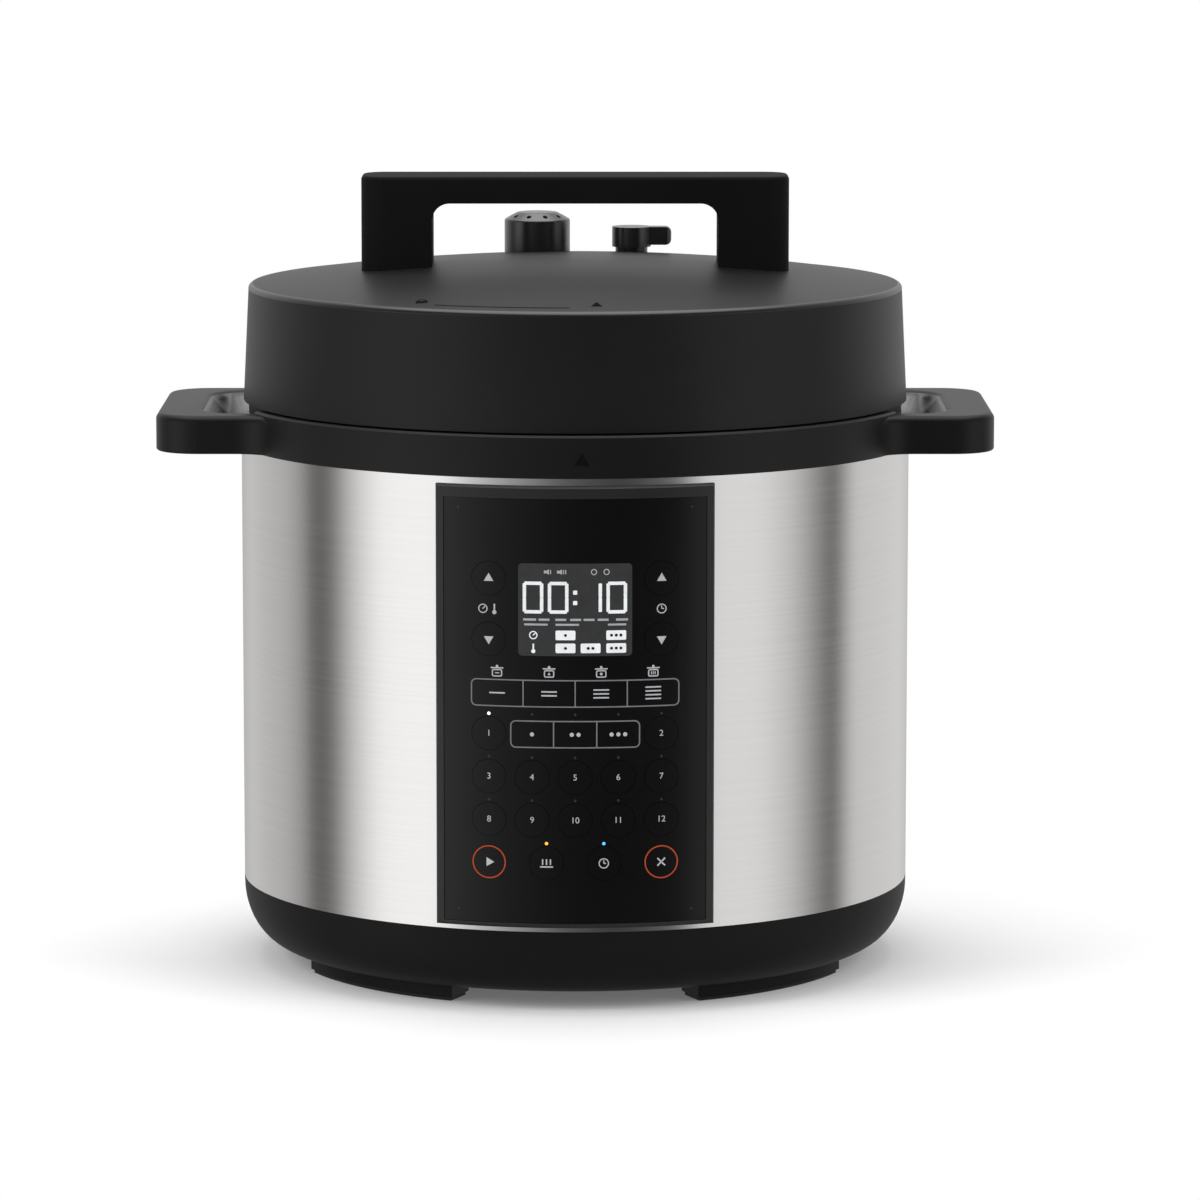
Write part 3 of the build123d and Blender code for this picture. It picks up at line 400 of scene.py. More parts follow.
print_white = ink("print_white", (0.5, 0.51, 0.53))
print_grey = ink("print_grey", (0.2, 0.2, 0.21))
print_dim = ink("print_dim", (0.035, 0.036, 0.04))
print_orange = ink("print_orange", (0.46, 0.065, 0.02))
# black print for the display's dots, and painted shade of the recess for the ring's triangle
print_and_recess_shade_black = ink("print_and_recess_shade_black", (0.003, 0.003, 0.003))
lid_print = ink("lid_print", (0.014, 0.009, 0.009), shine=0.0)
etched = ink("etched", (0.2, 0.2, 0.2))
screen_ground = ink("screen_ground", (0.042, 0.0425, 0.044))
screen_white = ink("screen_white", (0.82, 0.84, 0.86), glow=0.15)
screen_grey = ink("screen_grey", (0.38, 0.39, 0.4), glow=0.1)
lit_white = ink("lit_white", (0.9, 0.9, 0.9), glow=0.9)
lit_orange = ink("lit_orange", (0.95, 0.42, 0.05), glow=0.9)
lit_blue = ink("lit_blue", (0.06, 0.45, 0.95), glow=0.9)

for entry in frame["record"]["subparts"]:
    for material_slot in nodes[entry["node"]].material_slots:
        material_slot.material = finishes[entry["material_slot"]]
own_finishes = (("top_rim", ring_plastic), ("base_shell", base_plastic), ("lid_handle", handle_plastic))
for node, finish in own_finishes:
    for material_slot in nodes[node].material_slots:
        material_slot.material = finish


# Modelling by hand


def deselect():
    """Leaves nothing selected."""
    bpy.ops.object.select_all(action="DESELECT")


def pick(piece):
    """Selects one piece and makes it the active one."""
    deselect()
    piece.select_set(True)
    bpy.context.view_layer.objects.active = piece


def settle(piece):
    """Moves the piece's place, turn and size into its mesh."""
    pick(piece)
    bpy.ops.object.transform_apply(location=True, rotation=True, scale=True)
    return piece


def gather(name, pieces):
    """Joins pieces into one with a name."""
    deselect()
    for piece in pieces:
        piece.select_set(True)
    bpy.context.view_layer.objects.active = pieces[0]
    if len(pieces) > 1:
        bpy.ops.object.join()
    whole = bpy.context.object
    whole.name = name
    whole.data.name = name
    return whole


def apply_all(piece):
    """Applies the piece's modifiers in order."""
    pick(piece)
    for modifier in list(piece.modifiers):
        bpy.ops.object.modifier_apply(modifier=modifier.name)


def open_faces(piece, wanted):
    """Goes into edit mode with the wanted faces selected."""
    pick(piece)
    bpy.ops.object.mode_set(mode="EDIT")
    bpy.ops.mesh.select_mode(type="FACE")
    bpy.ops.mesh.select_all(action="DESELECT")
    bpy.ops.object.mode_set(mode="OBJECT")
    for face in piece.data.polygons:
        face.select = wanted(face)
    bpy.ops.object.mode_set(mode="EDIT")


def close_faces():
    """Goes back to object mode."""
    bpy.ops.object.mode_set(mode="OBJECT")


square_on = 0.99  # a face looks along an axis when its normal has this much of it
sharp_angle = 25  # edges turned by more than this are rounded


def facing_up(face):
    """A level face on top."""
    return face.normal.z > square_on


def facing_down(face):
    """A level face underneath."""
    return face.normal.z < -square_on


def facing_right(face):
    """An upright face at the right end."""
    return face.normal.x > square_on


def round_edges(piece, width, segments=3):
    """Rounds the piece's sharp edges."""
    bevel = piece.modifiers.new("edges", "BEVEL")
    bevel.width = width
    bevel.segments = segments
    bevel.limit_method = "ANGLE"
    bevel.angle_limit = radians(sharp_angle)
    apply_all(piece)


def combine(piece, other, operation):
    """Cuts another piece away from this one, or joins it on."""
    boolean = piece.modifiers.new("other", "BOOLEAN")
    boolean.operation = operation
    boolean.solver = "EXACT"
    boolean.object = other
    apply_all(piece)
    bpy.data.objects.remove(other)


def smooth(piece, angle=30):
    """Smooth shading, with the sharp edges kept."""
    pick(piece)
    bpy.ops.object.shade_smooth_by_angle(angle=radians(angle))
    even = piece.modifiers.new("even", "WEIGHTED_NORMAL")
    even.keep_sharp = True
    apply_all(piece)
    return piece


def rod(x, y, low, high, radius, sides=64):
    """An upright round bar to work from."""
    deselect()
    bpy.ops.mesh.primitive_cylinder_add(
        vertices=sides, radius=radius, depth=high - low, location=(x, y, (low + high) / 2)
    )
    return settle(bpy.context.object)


def brick(low, high):
    """A block between two corners to work from."""
    deselect()
    middle_point = [(a + b) / 2 for a, b in zip(low, high)]
    bpy.ops.mesh.primitive_cube_add(size=1, location=middle_point)
    piece = bpy.context.object
    piece.scale = [b - a for a, b in zip(low, high)]
    return settle(piece)


def dress(piece, name, material, body):
    """Gives a finished piece its name, its finish and the body that it rides on."""
    piece.name = name
    piece.data.name = name
    piece.data.materials.clear()
    piece.data.materials.append(material)
    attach(piece, body)
    return piece


# Flat drawing. On the front sheet u is across and v is up, on the lid's sheet v is towards the back


def sheet_place(u, v, turn, sheet):
    """Where a drawn shape lies, and how it is turned."""
    if sheet == "lid":
        return (u, v, sky_paper), (0, 0, -turn)
    return (u, -paper if sheet == "front" else 0, v), (pi / 2, turn, 0)


def bar(u, v, width, height, turn=0.0, corner=0.0, sheet="front"):
    """A filled rectangle, with round corners where wanted."""
    deselect()
    place, angles = sheet_place(u, v, turn, sheet)
    bpy.ops.mesh.primitive_plane_add(size=1, location=place, rotation=angles)
    piece = bpy.context.object
    piece.scale = (width, height, 1)
    settle(piece)
    if corner:
        bpy.ops.object.mode_set(mode="EDIT")
        bpy.ops.mesh.select_all(action="SELECT")
        bpy.ops.mesh.bevel(offset=corner, segments=5, affect="VERTICES")
        bpy.ops.object.mode_set(mode="OBJECT")
    return piece


def disc(u, v, radius, sides=36, turn=0.0, sheet="front", stretch=1.0):
    """A filled circle, or a triangle where it has three sides."""
    deselect()
    place, angles = sheet_place(u, v, turn, sheet)
    bpy.ops.mesh.primitive_circle_add(
        vertices=sides, radius=radius, fill_type="NGON", location=place, rotation=angles
    )
    piece = bpy.context.object
    piece.scale = (1, stretch, 1)
    return settle(piece)


def hollow_out(piece, width):
    """Leaves only the border of a filled shape."""
    open_faces(piece, lambda face: True)
    bpy.ops.mesh.inset(thickness=width)
    bpy.ops.mesh.delete(type="FACE")
    close_faces()
    return piece


def keep_side(piece, place, direction):
    """Cuts a shape along a plane and keeps what lies in the direction given."""
    pick(piece)
    bpy.ops.object.mode_set(mode="EDIT")
    bpy.ops.mesh.select_all(action="SELECT")
    bpy.ops.mesh.bisect(plane_co=place, plane_no=direction, clear_inner=True)
    bpy.ops.object.mode_set(mode="OBJECT")
    return piece


def figures(text, u, v, height, sheet="front"):
    """Plain figures."""
    deselect()
    bpy.ops.object.text_add(location=(0, 0, 0))
    piece = bpy.context.object
    piece.data.body = text
    piece.data.size = height * letter_size
    piece.data.align_x = "CENTER"
    piece.data.align_y = "CENTER"
    bpy.ops.object.convert(target="MESH")
    piece = bpy.context.object
    piece.location, piece.rotation_euler = sheet_place(u, v, 0.0, sheet)
    return settle(piece)


def slice_across(piece):
    """Cuts a flat print into narrow upright strips, so that it can follow a curve."""
    pick(piece)
    left = min(vertex.co.x for vertex in piece.data.vertices)
    right = max(vertex.co.x for vertex in piece.data.vertices)
    cuts = int((right - left) / print_step)
    bpy.ops.object.mode_set(mode="EDIT")
    for index in range(1, cuts + 1):
        bpy.ops.mesh.select_all(action="SELECT")
        here = left + (right - left) * index / (cuts + 1)
        bpy.ops.mesh.bisect(plane_co=(here, 0, 0), plane_no=(1, 0, 0))
    bpy.ops.object.mode_set(mode="OBJECT")


helpers = {}


def drum(radius):
    """A round helper form that prints are laid on, removed at the end."""
    name = f"drum_{radius / mm:.2f}"
    if name not in helpers:
        deselect()
        place = (0, 0, drum_middle)
        bpy.ops.mesh.primitive_cylinder_add(
            vertices=drum_sides, radius=radius, depth=drum_height, location=place, end_fill_type="NOTHING"
        )
        helpers[name] = bpy.context.object
        helpers[name].name = name
    return helpers[name]


def lay_on(piece, target, down=False):
    """Presses a flat print onto a form and gives it a little thickness."""
    wrap = piece.modifiers.new("lay", "SHRINKWRAP")
    wrap.target = target
    wrap.wrap_method = "PROJECT"
    wrap.use_project_y = not down
    wrap.use_project_z = down
    wrap.use_positive_direction = not down
    wrap.use_negative_direction = down
    wrap.offset = print_lift
    solid = piece.modifiers.new("body", "SOLIDIFY")
    solid.thickness = print_thickness
    solid.offset = 1.0
    apply_all(piece)
    return piece


def print_on(name, drawing, radius, material, body):
    """Lays a finished drawing on a round wall."""
    piece = gather(name, drawing)
    slice_across(piece)
    lay_on(piece, drum(radius))
    return dress(piece, name, material, body)


# The control panel


def middle(node):
    """A node's middle across and up the panel."""
    low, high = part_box(node)
    return (low[0] + high[0]) / 2, (low[2] + high[2]) / 2


def half_size(node):
    """Half a node's width and height."""
    low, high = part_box(node)
    return (high[0] - low[0]) / 2, (high[2] - low[2]) / 2


film_front = -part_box("panel_film")[0][1]
key_front = -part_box("key_program_05")[0][1]
lens_front = -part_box("display_lens")[0][1]
mode_keys = [f"key_mode_{number}" for number in range(1, 5)]
favourite_keys = [f"key_favourite_{number}" for number in range(1, 4)]
program_keys = [f"key_program_{number:02d}" for number in range(1, 13)]


def framed_row(keys):
    """The border round a row of keys, with a line between each two."""
    first_x, z = middle(keys[0])
    last_x = middle(keys[-1])[0]
    half_x, half_z = half_size(keys[0])
    width = last_x - first_x + 2 * (half_x + key_gap + line_width)
    height = 2 * (half_z + key_gap + line_width)
    border = bar((first_x + last_x) / 2, z, width, height, corner=frame_corner)
    drawing = [hollow_out(border, line_width)]
    for left, right in zip(keys, keys[1:]):
        x = (middle(left)[0] + middle(right)[0]) / 2
        drawing.append(bar(x, z, line_width, height - 2 * line_width))
    return drawing


def command_ring(node):
    """The coloured ring along the edge of the start or cancel key."""
    return [hollow_out(disc(*middle(node), half_size(node)[0] - key_inset, 72), line_width)]


def small_pot(x, z):
    """A plain pot sign: body, lid line and knob."""
    body = hollow_out(bar(x, z - 0.5 * mm, 4.0 * mm, 2.9 * mm, corner=0.7 * mm), 0.45 * mm)
    lid = bar(x, z + 1.45 * mm, 4.8 * mm, 0.5 * mm)
    return [body, lid, disc(x, z + 2.1 * mm, 0.5 * mm, 20)]


def mode_signs():
    """A pot over each mode key, each with its own mark."""
    drawing = []
    for index, node in enumerate(mode_keys):
        x, z = middle(node)
        z += mode_sign_rise
        drawing += small_pot(x, z)
        if index == 0:
            drawing.append(bar(x, z - 0.5 * mm, 1.6 * mm, fine_line))
        elif index == 1:
            drawing.append(disc(x, z - 0.6 * mm, 0.7 * mm, 3))
        elif index == 2:
            drawing.append(disc(x, z - 0.5 * mm, 0.55 * mm, 20))
        else:
            drawing += [bar(x + step * mm, z - 0.5 * mm, 0.35 * mm, 1.2 * mm) for step in (-0.7, 0, 0.7)]
    return drawing


def clock_sign(x, z, radius):
    """A clock face with two hands."""
    face = hollow_out(disc(x, z, radius), fine_line)
    long_hand = bar(x, z + radius * 0.3, fine_line, radius * 0.6)
    short_hand = bar(x + radius * 0.22, z, radius * 0.45, fine_line)
    return [face, long_hand, short_hand]


def gauge_sign(x, z, radius):
    """A dial with its needle."""
    face = hollow_out(disc(x, z, radius), fine_line)
    needle = bar(x + radius * 0.2, z + radius * 0.2, radius * 0.8, fine_line, turn=-pi / 4)
    return [face, needle]


def heat_sign(x, z, height):
    """A thermometer."""
    tube = bar(x, z + height * 0.15, 0.6 * mm, height * 0.7)
    bulb = disc(x, z - height * 0.35, 0.8 * mm, 24)
    return [tube, bulb]


def side_signs():
    """What the arrow keys set: pressure and heat at the left, time at the right."""
    left = middle("key_pressure_up")
    right = middle("key_time_up")
    z = (left[1] + middle("key_pressure_down")[1]) / 2
    drawing = gauge_sign(left[0] - 2.2 * mm, z, 1.8 * mm)
    drawing += heat_sign(left[0] + 2.2 * mm, z, 3.8 * mm)
    return drawing + clock_sign(right[0], z, 1.9 * mm)


def lamp_places():
    """A lamp over each program and favourite key, from the top left."""
    places = []
    for node in program_keys + favourite_keys:
        x, z = middle(node)
        places.append((x, z + led_rise))
    return sorted(places, key=lambda place: (-round(place[1], 3), place[0]))


def lamp_over(node):
    """The lit lamp over one key."""
    x, z = middle(node)
    return [disc(x, z + led_rise, lit_radius, 24)]


def corner_dots():
    """The four tiny dots in the film's corners."""
    low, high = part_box("panel_film")
    across = 5.6 * mm
    return [
        disc(x, z, 0.45 * mm, 16)
        for x in (low[0] + across, high[0] - across)
        for z in (low[2] + 4.6 * mm, high[2] - 3.7 * mm)
    ]


def key_signs():
    """The sign printed on each key: arrows, figures and plain pictures."""
    signs = {}
    for way, turn in (("up", 0.0), ("down", pi)):
        for side in ("pressure", "time"):
            signs[f"key_{side}_{way}"] = [disc(*middle(f"key_{side}_{way}"), 2.1 * mm, 3, turn)]
    for number, node in enumerate(program_keys, 1):
        signs[node] = [figures(str(number), *middle(node), 2.4 * mm)]
    for number, node in enumerate(favourite_keys, 1):
        x, z = middle(node)
        spread = 2.6 * mm
        first = x - spread * (number - 1) / 2
        signs[node] = [disc(first + spread * step, z, 0.8 * mm, 24) for step in range(number)]
    for number, node in enumerate(mode_keys, 1):
        x, z = middle(node)
        first = z - (number - 1) * 0.75 * mm
        signs[node] = [bar(x, first + step * 1.5 * mm, 6.0 * mm, key_stroke) for step in range(number)]
    signs["key_start"] = [disc(*middle("key_start"), 2.0 * mm, 3, pi / 2)]
    crossed = (pi / 4, -pi / 4)
    signs["key_cancel"] = [bar(*middle("key_cancel"), 4.2 * mm, key_stroke, turn) for turn in crossed]
    x, z = middle("key_keep_warm")
    waves = [bar(x + step * 1.5 * mm, z + 0.5 * mm, 0.5 * mm, 2.2 * mm) for step in (-1, 0, 1)]
    signs["key_keep_warm"] = waves + [bar(x, z - 1.4 * mm, 5.0 * mm, key_stroke)]
    signs["key_delay"] = clock_sign(*middle("key_delay"), 2.0 * mm)
    return signs


def control_panel():
    """Everything printed on the film and its keys."""
    frames = framed_row(mode_keys) + framed_row(favourite_keys)
    print_on("panel_frames", frames, film_front, print_grey, "housing")
    for node in ("key_start", "key_cancel"):
        print_on(f"ring_{node}", command_ring(node), key_front, print_orange, node)
    print_on("panel_signs", mode_signs() + side_signs(), film_front, print_white, "housing")
    lamps = lamp_places()
    dark_lamps = [disc(*place, led_radius, 20) for place in lamps[1:]]
    print_on("dark_lamps", dark_lamps + corner_dots(), film_front, print_dim, "housing")
    print_on("program_lamp", [disc(*lamps[0], lit_radius, 24)], film_front, lit_white, "housing")
    print_on("warm_lamp", lamp_over("key_keep_warm"), film_front, lit_orange, "housing")
    print_on("delay_lamp", lamp_over("key_delay"), film_front, lit_blue, "housing")
    for node, drawing in key_signs().items():
        print_on(f"sign_{node}", drawing, key_front, print_white, node)


# The display

screen_x, screen_z = middle("display_lens")
nought = ("top", "bottom", "top_left", "top_right", "low_left", "low_right")
one = ("top_right", "low_right")
box_columns = (-3.7, 5.9, 15.7)
box_rows = (-9.8, -14.8)
shown_boxes = ((0, 0), (2, 0), (0, 1), (1, 1), (2, 1))


def digit(x, z, lit):
    """One seven-bar figure."""
    width = 6.6 * mm
    half = 5.5 * mm
    stroke = 1.3 * mm
    bars = {
        "top": (x, z + half, width, stroke),
        "bottom": (x, z - half, width, stroke),
        "top_left": (x - width / 2, z + half / 2, stroke, half),
        "top_right": (x + width / 2, z + half / 2, stroke, half),
        "low_left": (x - width / 2, z - half / 2, stroke, half),
        "low_right": (x + width / 2, z - half / 2, stroke, half),
    }
    return [bar(*bars[name], corner=0.3 * mm) for name in lit]


def clock_figures():
    """The time that the display shows, and its dots."""
    z = screen_z + 4.7 * mm
    drawing = digit(screen_x - 16.1 * mm, z, nought) + digit(screen_x - 6.5 * mm, z, nought)
    drawing += digit(screen_x + 6.3 * mm, z, one) + digit(screen_x + 15.9 * mm, z, nought)
    dot = 1.6 * mm
    return drawing + [bar(screen_x, z + step * mm, dot, dot, corner=0.3 * mm) for step in (-2, 2)]


def stage_line():
    """The row of dashes under the time, and the three longer ones below it."""
    z = screen_z - 3.8 * mm
    dashes = ((-19.9, 5.0), (-14.0, 4.2), (-7.6, 4.2), (-1.9, 4.2), (3.2, 4.2), (8.6, 4.2), (15.6, 4.6))
    drawing = []
    for start, length in dashes:
        drawing.append(bar(screen_x + (start + length / 2) * mm, z, length * mm, 0.85 * mm))
    for x, width in ((-15, 9), (-3, 9), (16, 7)):
        drawing.append(bar(screen_x + x * mm, z - 1.9 * mm, width * mm, 0.75 * mm))
    return drawing


def level_boxes():
    """White level boxes in two rows, with a sign in front of each row."""
    drawing = []
    for column, row in shown_boxes:
        place = (screen_x + box_columns[column] * mm, screen_z + box_rows[row] * mm)
        drawing.append(bar(*place, 7.6 * mm, 3.7 * mm, corner=0.5 * mm))
    drawing += gauge_sign(screen_x - 16.0 * mm, screen_z + box_rows[0] * mm, 1.6 * mm)
    return drawing + heat_sign(screen_x - 16.0 * mm, screen_z + box_rows[1] * mm, 3.4 * mm)


def level_dots():
    """One, two or three dots in each level box."""
    drawing = []
    for column, row in shown_boxes:
        for step in range(column + 1):
            x = screen_x + (box_columns[column] + (step - column / 2) * 1.8) * mm
            drawing.append(disc(x, screen_z + box_rows[row] * mm, 0.55 * mm, 16))
    return drawing


def screen_signs():
    """Small signs above the time: sound, louder sound, and two lamps."""
    z = screen_z + 14.6 * mm
    drawing = []
    for x, loud in ((-10.6, 1), (-5.6, 2)):
        drawing.append(disc(screen_x + x * mm, z, 1.2 * mm, 3, -pi / 2))
        drawing.append(bar(screen_x + (x - 0.9) * mm, z, 0.9 * mm, 1.1 * mm))
        for step in range(loud):
            drawing.append(bar(screen_x + (x + 1.2 + 0.8 * step) * mm, z, fine_line, 1.6 * mm))
    for x in (7.2, 12.0):
        drawing.append(hollow_out(disc(screen_x + x * mm, z, 1.2 * mm), fine_line))
    return drawing


def display():
    """What the lit display shows."""
    half_x, half_z = half_size("display_lens")
    ground = [bar(screen_x, screen_z, 2 * half_x, 2 * half_z, corner=1.5 * mm)]
    print_on("screen_ground", ground, lens_front, screen_ground, "housing")
    front = lens_front + 2 * print_thickness
    lit = clock_figures() + level_boxes()
    print_on("screen_time", lit, front, screen_white, "housing")
    marks = stage_line() + screen_signs()
    print_on("screen_marks", marks, front, screen_grey, "housing")
    front += 2 * print_thickness
    print_on("screen_dots", level_dots(), front, print_and_recess_shade_black, "housing")


# Marks on the ring, the lid and the pot


def ring_mark():
    """The triangle on the front of the ring that the lid's marks line up with. It is recessed in the ring;
    here it is drawn flat, and its black is painted shade of the recess.
    """
    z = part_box("panel_bezel")[1][2] + ring_mark_rise
    mark = [disc(ring_mark_side, z, ring_mark_size, 3)]
    print_on("ring_mark", mark, ring_radius, print_and_recess_shade_black, "housing")


def on_lid(name, drawing, material):
    """Lays a drawing on the lid's dome."""
    piece = gather(name, drawing)
    slice_across(piece)
    lay_on(piece, nodes["lid_cover"], down=True)
    return dress(piece, name, material, "lid")


def lid_place(radius, angle):
    """A place on the lid, by its distance from the middle and its angle from +X."""
    return radius * cos(radians(angle)), radius * sin(radians(angle))


def lid_arc(radius, width, first, last):
    """A thin arc round the lid's middle."""
    arc = hollow_out(disc(0, 0, radius + width / 2, 240, sheet="lid"), width)
    keep_side(arc, (0, 0, 0), (-sin(radians(first)), cos(radians(first)), 0))
    return keep_side(arc, (0, 0, 0), (sin(radians(last)), -cos(radians(last)), 0))


def lock_sign(x, y):
    """A closed padlock, drawn long because it is read from the front."""
    body = bar(x, y - 1.5 * mm, 4.6 * mm, 4.0 * mm, corner=0.4 * mm, sheet="lid")
    shackle = hollow_out(disc(x, y + 0.6 * mm, 1.8 * mm, 32, sheet="lid", stretch=1.5), 0.6 * mm)
    keep_side(shackle, (0, y + 0.5 * mm, 0), (0, 1, 0))
    return [body, shackle]


def lid_marks():
    """The arrow, the lock and the arc between them near the lid's front edge."""
    arrow = disc(*lid_place(lid_mark_radius, -86), 2.6 * mm, 3, sheet="lid", stretch=1.9)
    on_lid("lid_arrow", [arrow], lid_print)
    lock = lock_sign(*lid_place(lid_mark_radius, -120))
    on_lid("lid_lock", lock + [lid_arc(lid_arc_radius, lid_arc_width, -116, -91)], lid_print)


def pot_lines():
    """Etched filling lines and plain figures on the pot's inside, at the back."""
    low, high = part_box("inner_pot")
    drawing = []
    for number, share in ((2, 0.36), (4, 0.66)):
        z = low[2] + (high[2] - low[2]) * share
        drawing.append(bar(0, z, 26 * mm, 0.6 * mm, sheet="inside"))
        drawing.append(figures(str(number), 18 * mm, z, 5 * mm, sheet="inside"))
    print_on("pot_lines", drawing, pot_line_radius, etched, "pot")


# The lid's edge, knobs, coil and screws


def lid_edge():
    """The lid's rounded shoulder: a thin, shinier skin over the moulded edge."""
    low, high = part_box("lid_cover")
    shoulder = low[2] + lid_wall_height + edge_lift
    reach = edge_rounding + edge_margin
    top_radius = high[0] - lid_taper + edge_lift
    low_radius = top_radius + lid_taper * reach / lid_wall_height
    band = rod(0, 0, shoulder - reach, shoulder, low_radius, 360)
    open_faces(band, facing_up)
    share = top_radius / low_radius
    bpy.ops.transform.resize(value=(share, share, 1), center_override=(0, 0, shoulder))
    bpy.ops.mesh.inset(thickness=reach, depth=reach * top_radius / dome_radius)
    bpy.ops.mesh.delete(type="FACE")
    close_faces()
    open_faces(band, facing_down)
    bpy.ops.mesh.delete(type="FACE")
    close_faces()
    round_edges(band, edge_rounding, 8)
    skin = band.modifiers.new("skin", "SOLIDIFY")
    skin.thickness = edge_skin
    skin.offset = -1.0
    apply_all(band)
    smooth(band)
    dress(band, "lid_edge", edge_plastic, "lid")


def valve_knob():
    """The vented knob: a turned cap with a cone on top, hollow underneath, its foot cut along the dome."""
    low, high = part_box("valve_cap")
    x = (low[0] + high[0]) / 2
    y = (low[1] + high[1]) / 2
    radius = (high[0] - low[0]) / 2
    knob = rod(x, y, low[2] - spare, high[2] - knob_cone, radius, 96)
    open_faces(knob, facing_up)
    bpy.ops.mesh.extrude_region_move(TRANSFORM_OT_translate={"value": (0, 0, knob_cone)})
    share = knob_top_radius / radius
    bpy.ops.transform.resize(value=(share, share, 1), center_override=(x, y, high[2]))
    close_faces()
    round_edges(knob, knob_edge)
    slope = hypot(x, y) / dome_radius
    foot = low[2] + slope * radius + radius**2 / (2 * dome_radius) - foot_drop
    pick(knob)
    bpy.ops.object.mode_set(mode="EDIT")
    bpy.ops.mesh.select_all(action="SELECT")
    tilt = (x / dome_radius, y / dome_radius, 1)
    bpy.ops.mesh.bisect(plane_co=(x, y, foot), plane_no=tilt, use_fill=True, clear_inner=True)
    bpy.ops.mesh.inset(thickness=knob_wall)
    bpy.ops.mesh.extrude_region_move(TRANSFORM_OT_translate={"value": (0, 0, knob_depth)})
    close_faces()
    ring = (radius + knob_top_radius) / 2
    drills = []
    for index in range(vent_hole_count):
        angle = 2 * pi * index / vent_hole_count
        place = (x + ring * cos(angle), y + ring * sin(angle))
        drills.append(rod(*place, high[2] - 2 * knob_cone, high[2] + knob_cone, vent_hole_radius, 24))
    combine(knob, gather("drills", drills), "DIFFERENCE")
    smooth(knob)
    dress(knob, "valve_knob", finishes["gloss_black"], "valve")
    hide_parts("valve_cap")


def release_lever():
    """The lever knob: a cap on a narrower hub, with a finger tab."""
    low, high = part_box("steam_release_lever")
    x = low[0] + lever_cap_radius
    y = (low[1] + high[1]) / 2
    under = high[2] - lever_cap_height
    lever = rod(x, y, under, high[2], lever_cap_radius, 96)
    tab_low = (x, y - lever_tab_width / 2, high[2] - lever_tab_height)
    tab = brick(tab_low, (high[0], y + lever_tab_width / 2, high[2]))
    open_faces(tab, facing_right)
    bpy.ops.mesh.bevel(offset=lever_tab_corner, segments=6, affect="EDGES")
    close_faces()
    combine(lever, tab, "UNION")
    round_edges(lever, lever_edge)
    hub = rod(x, y, low[2] + lever_stem_length, under + spare, lever_hub_radius, 96)
    open_faces(hub, facing_down)
    bpy.ops.mesh.inset(thickness=lever_hub_radius - lever_stem_radius)
    bpy.ops.mesh.extrude_region_move(TRANSFORM_OT_translate={"value": (0, 0, -lever_stem_length)})
    close_faces()
    combine(lever, hub, "UNION")
    smooth(lever)
    dress(lever, "release_lever", finishes["gloss_black"], "lever")
    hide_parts("steam_release_lever")


def sensor_coil():
    """The round-wire spring under the heat sensor."""
    low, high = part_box("sensor_spring")
    radius = (high[0] - low[0] - coil_wire) / 2
    height = high[2] - low[2] - coil_wire
    deselect()
    place = (radius, 0, low[2] + coil_wire / 2)
    upright = (pi / 2, 0, 0)
    bpy.ops.mesh.primitive_circle_add(vertices=12, radius=coil_wire / 2, location=place, rotation=upright)
    coil = settle(bpy.context.object)
    turns = coil.modifiers.new("turns", "SCREW")
    turns.iterations = coil_turns
    turns.screw_offset = height / coil_turns
    turns.steps = coil_steps
    turns.render_steps = coil_steps
    apply_all(coil)
    bpy.ops.object.mode_set(mode="EDIT")
    bpy.ops.mesh.select_all(action="SELECT")
    bpy.ops.mesh.fill_holes(sides=0)
    bpy.ops.mesh.normals_make_consistent(inside=False)
    bpy.ops.object.mode_set(mode="OBJECT")
    smooth(coil, 60)
    dress(coil, "sensor_coil", finishes["inner_steel"], "housing")
    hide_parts("sensor_spring")
    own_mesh(coil)


def base_screws():
    """A cross-head screw under each post of the base."""
    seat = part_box("base_shell")[0][2] + screw_seat
    bottom = seat - 3 * screw_height
    top = seat - screw_height * 0.4
    long = screw_radius * 0.6
    thin = screw_radius * 0.14
    screws = []
    for index in range(screw_count):
        angle = pi / 4 + 2 * pi * index / screw_count
        x = screw_circle * cos(angle)
        y = screw_circle * sin(angle)
        head = rod(x, y, seat - screw_height, seat, screw_radius, 48)
        round_edges(head, screw_edge)
        for half_x, half_y in ((long, thin), (thin, long)):
            groove = brick((x - half_x, y - half_y, bottom), (x + half_x, y + half_y, top))
            combine(head, groove, "DIFFERENCE")
        screws.append(smooth(head))
    dress(gather("base_screws", screws), "base_screws", screw_zinc, "housing")


control_panel()
display()
ring_mark()
lid_marks()
pot_lines()
lid_edge()
valve_knob()
release_lever()
sensor_coil()
base_screws()


# Floor, light and camera

# Brightness of the studio's panels and dark flags, by their angle round the object, 0 towards the camera
studio_walls = (
    (-180, 0.5),
    (-165, 0.52),
    (-150, 0.64),
    (-118, 0.52),
    (-107, 0.36),
    (-103, 0.14),
    (-97, 0.09),
    (-91, 0.18),
    (-83, 0.62),
    (-70, 1.14),
    (-47, 1.2),
    (-38, 0.74),
    (-25, 0.4),
    (-5, 0.11),
    (15, 0.04),
    (36, 0.13),
    (46, 0.9),
    (66, 0.88),
    (80, 0.64),
    (92, 0.28),
    (100, 0.08),
    (106, 0.42),
    (111, 0.7),
    (150, 0.74),
    (165, 0.6),
    (180, 0.5),
)


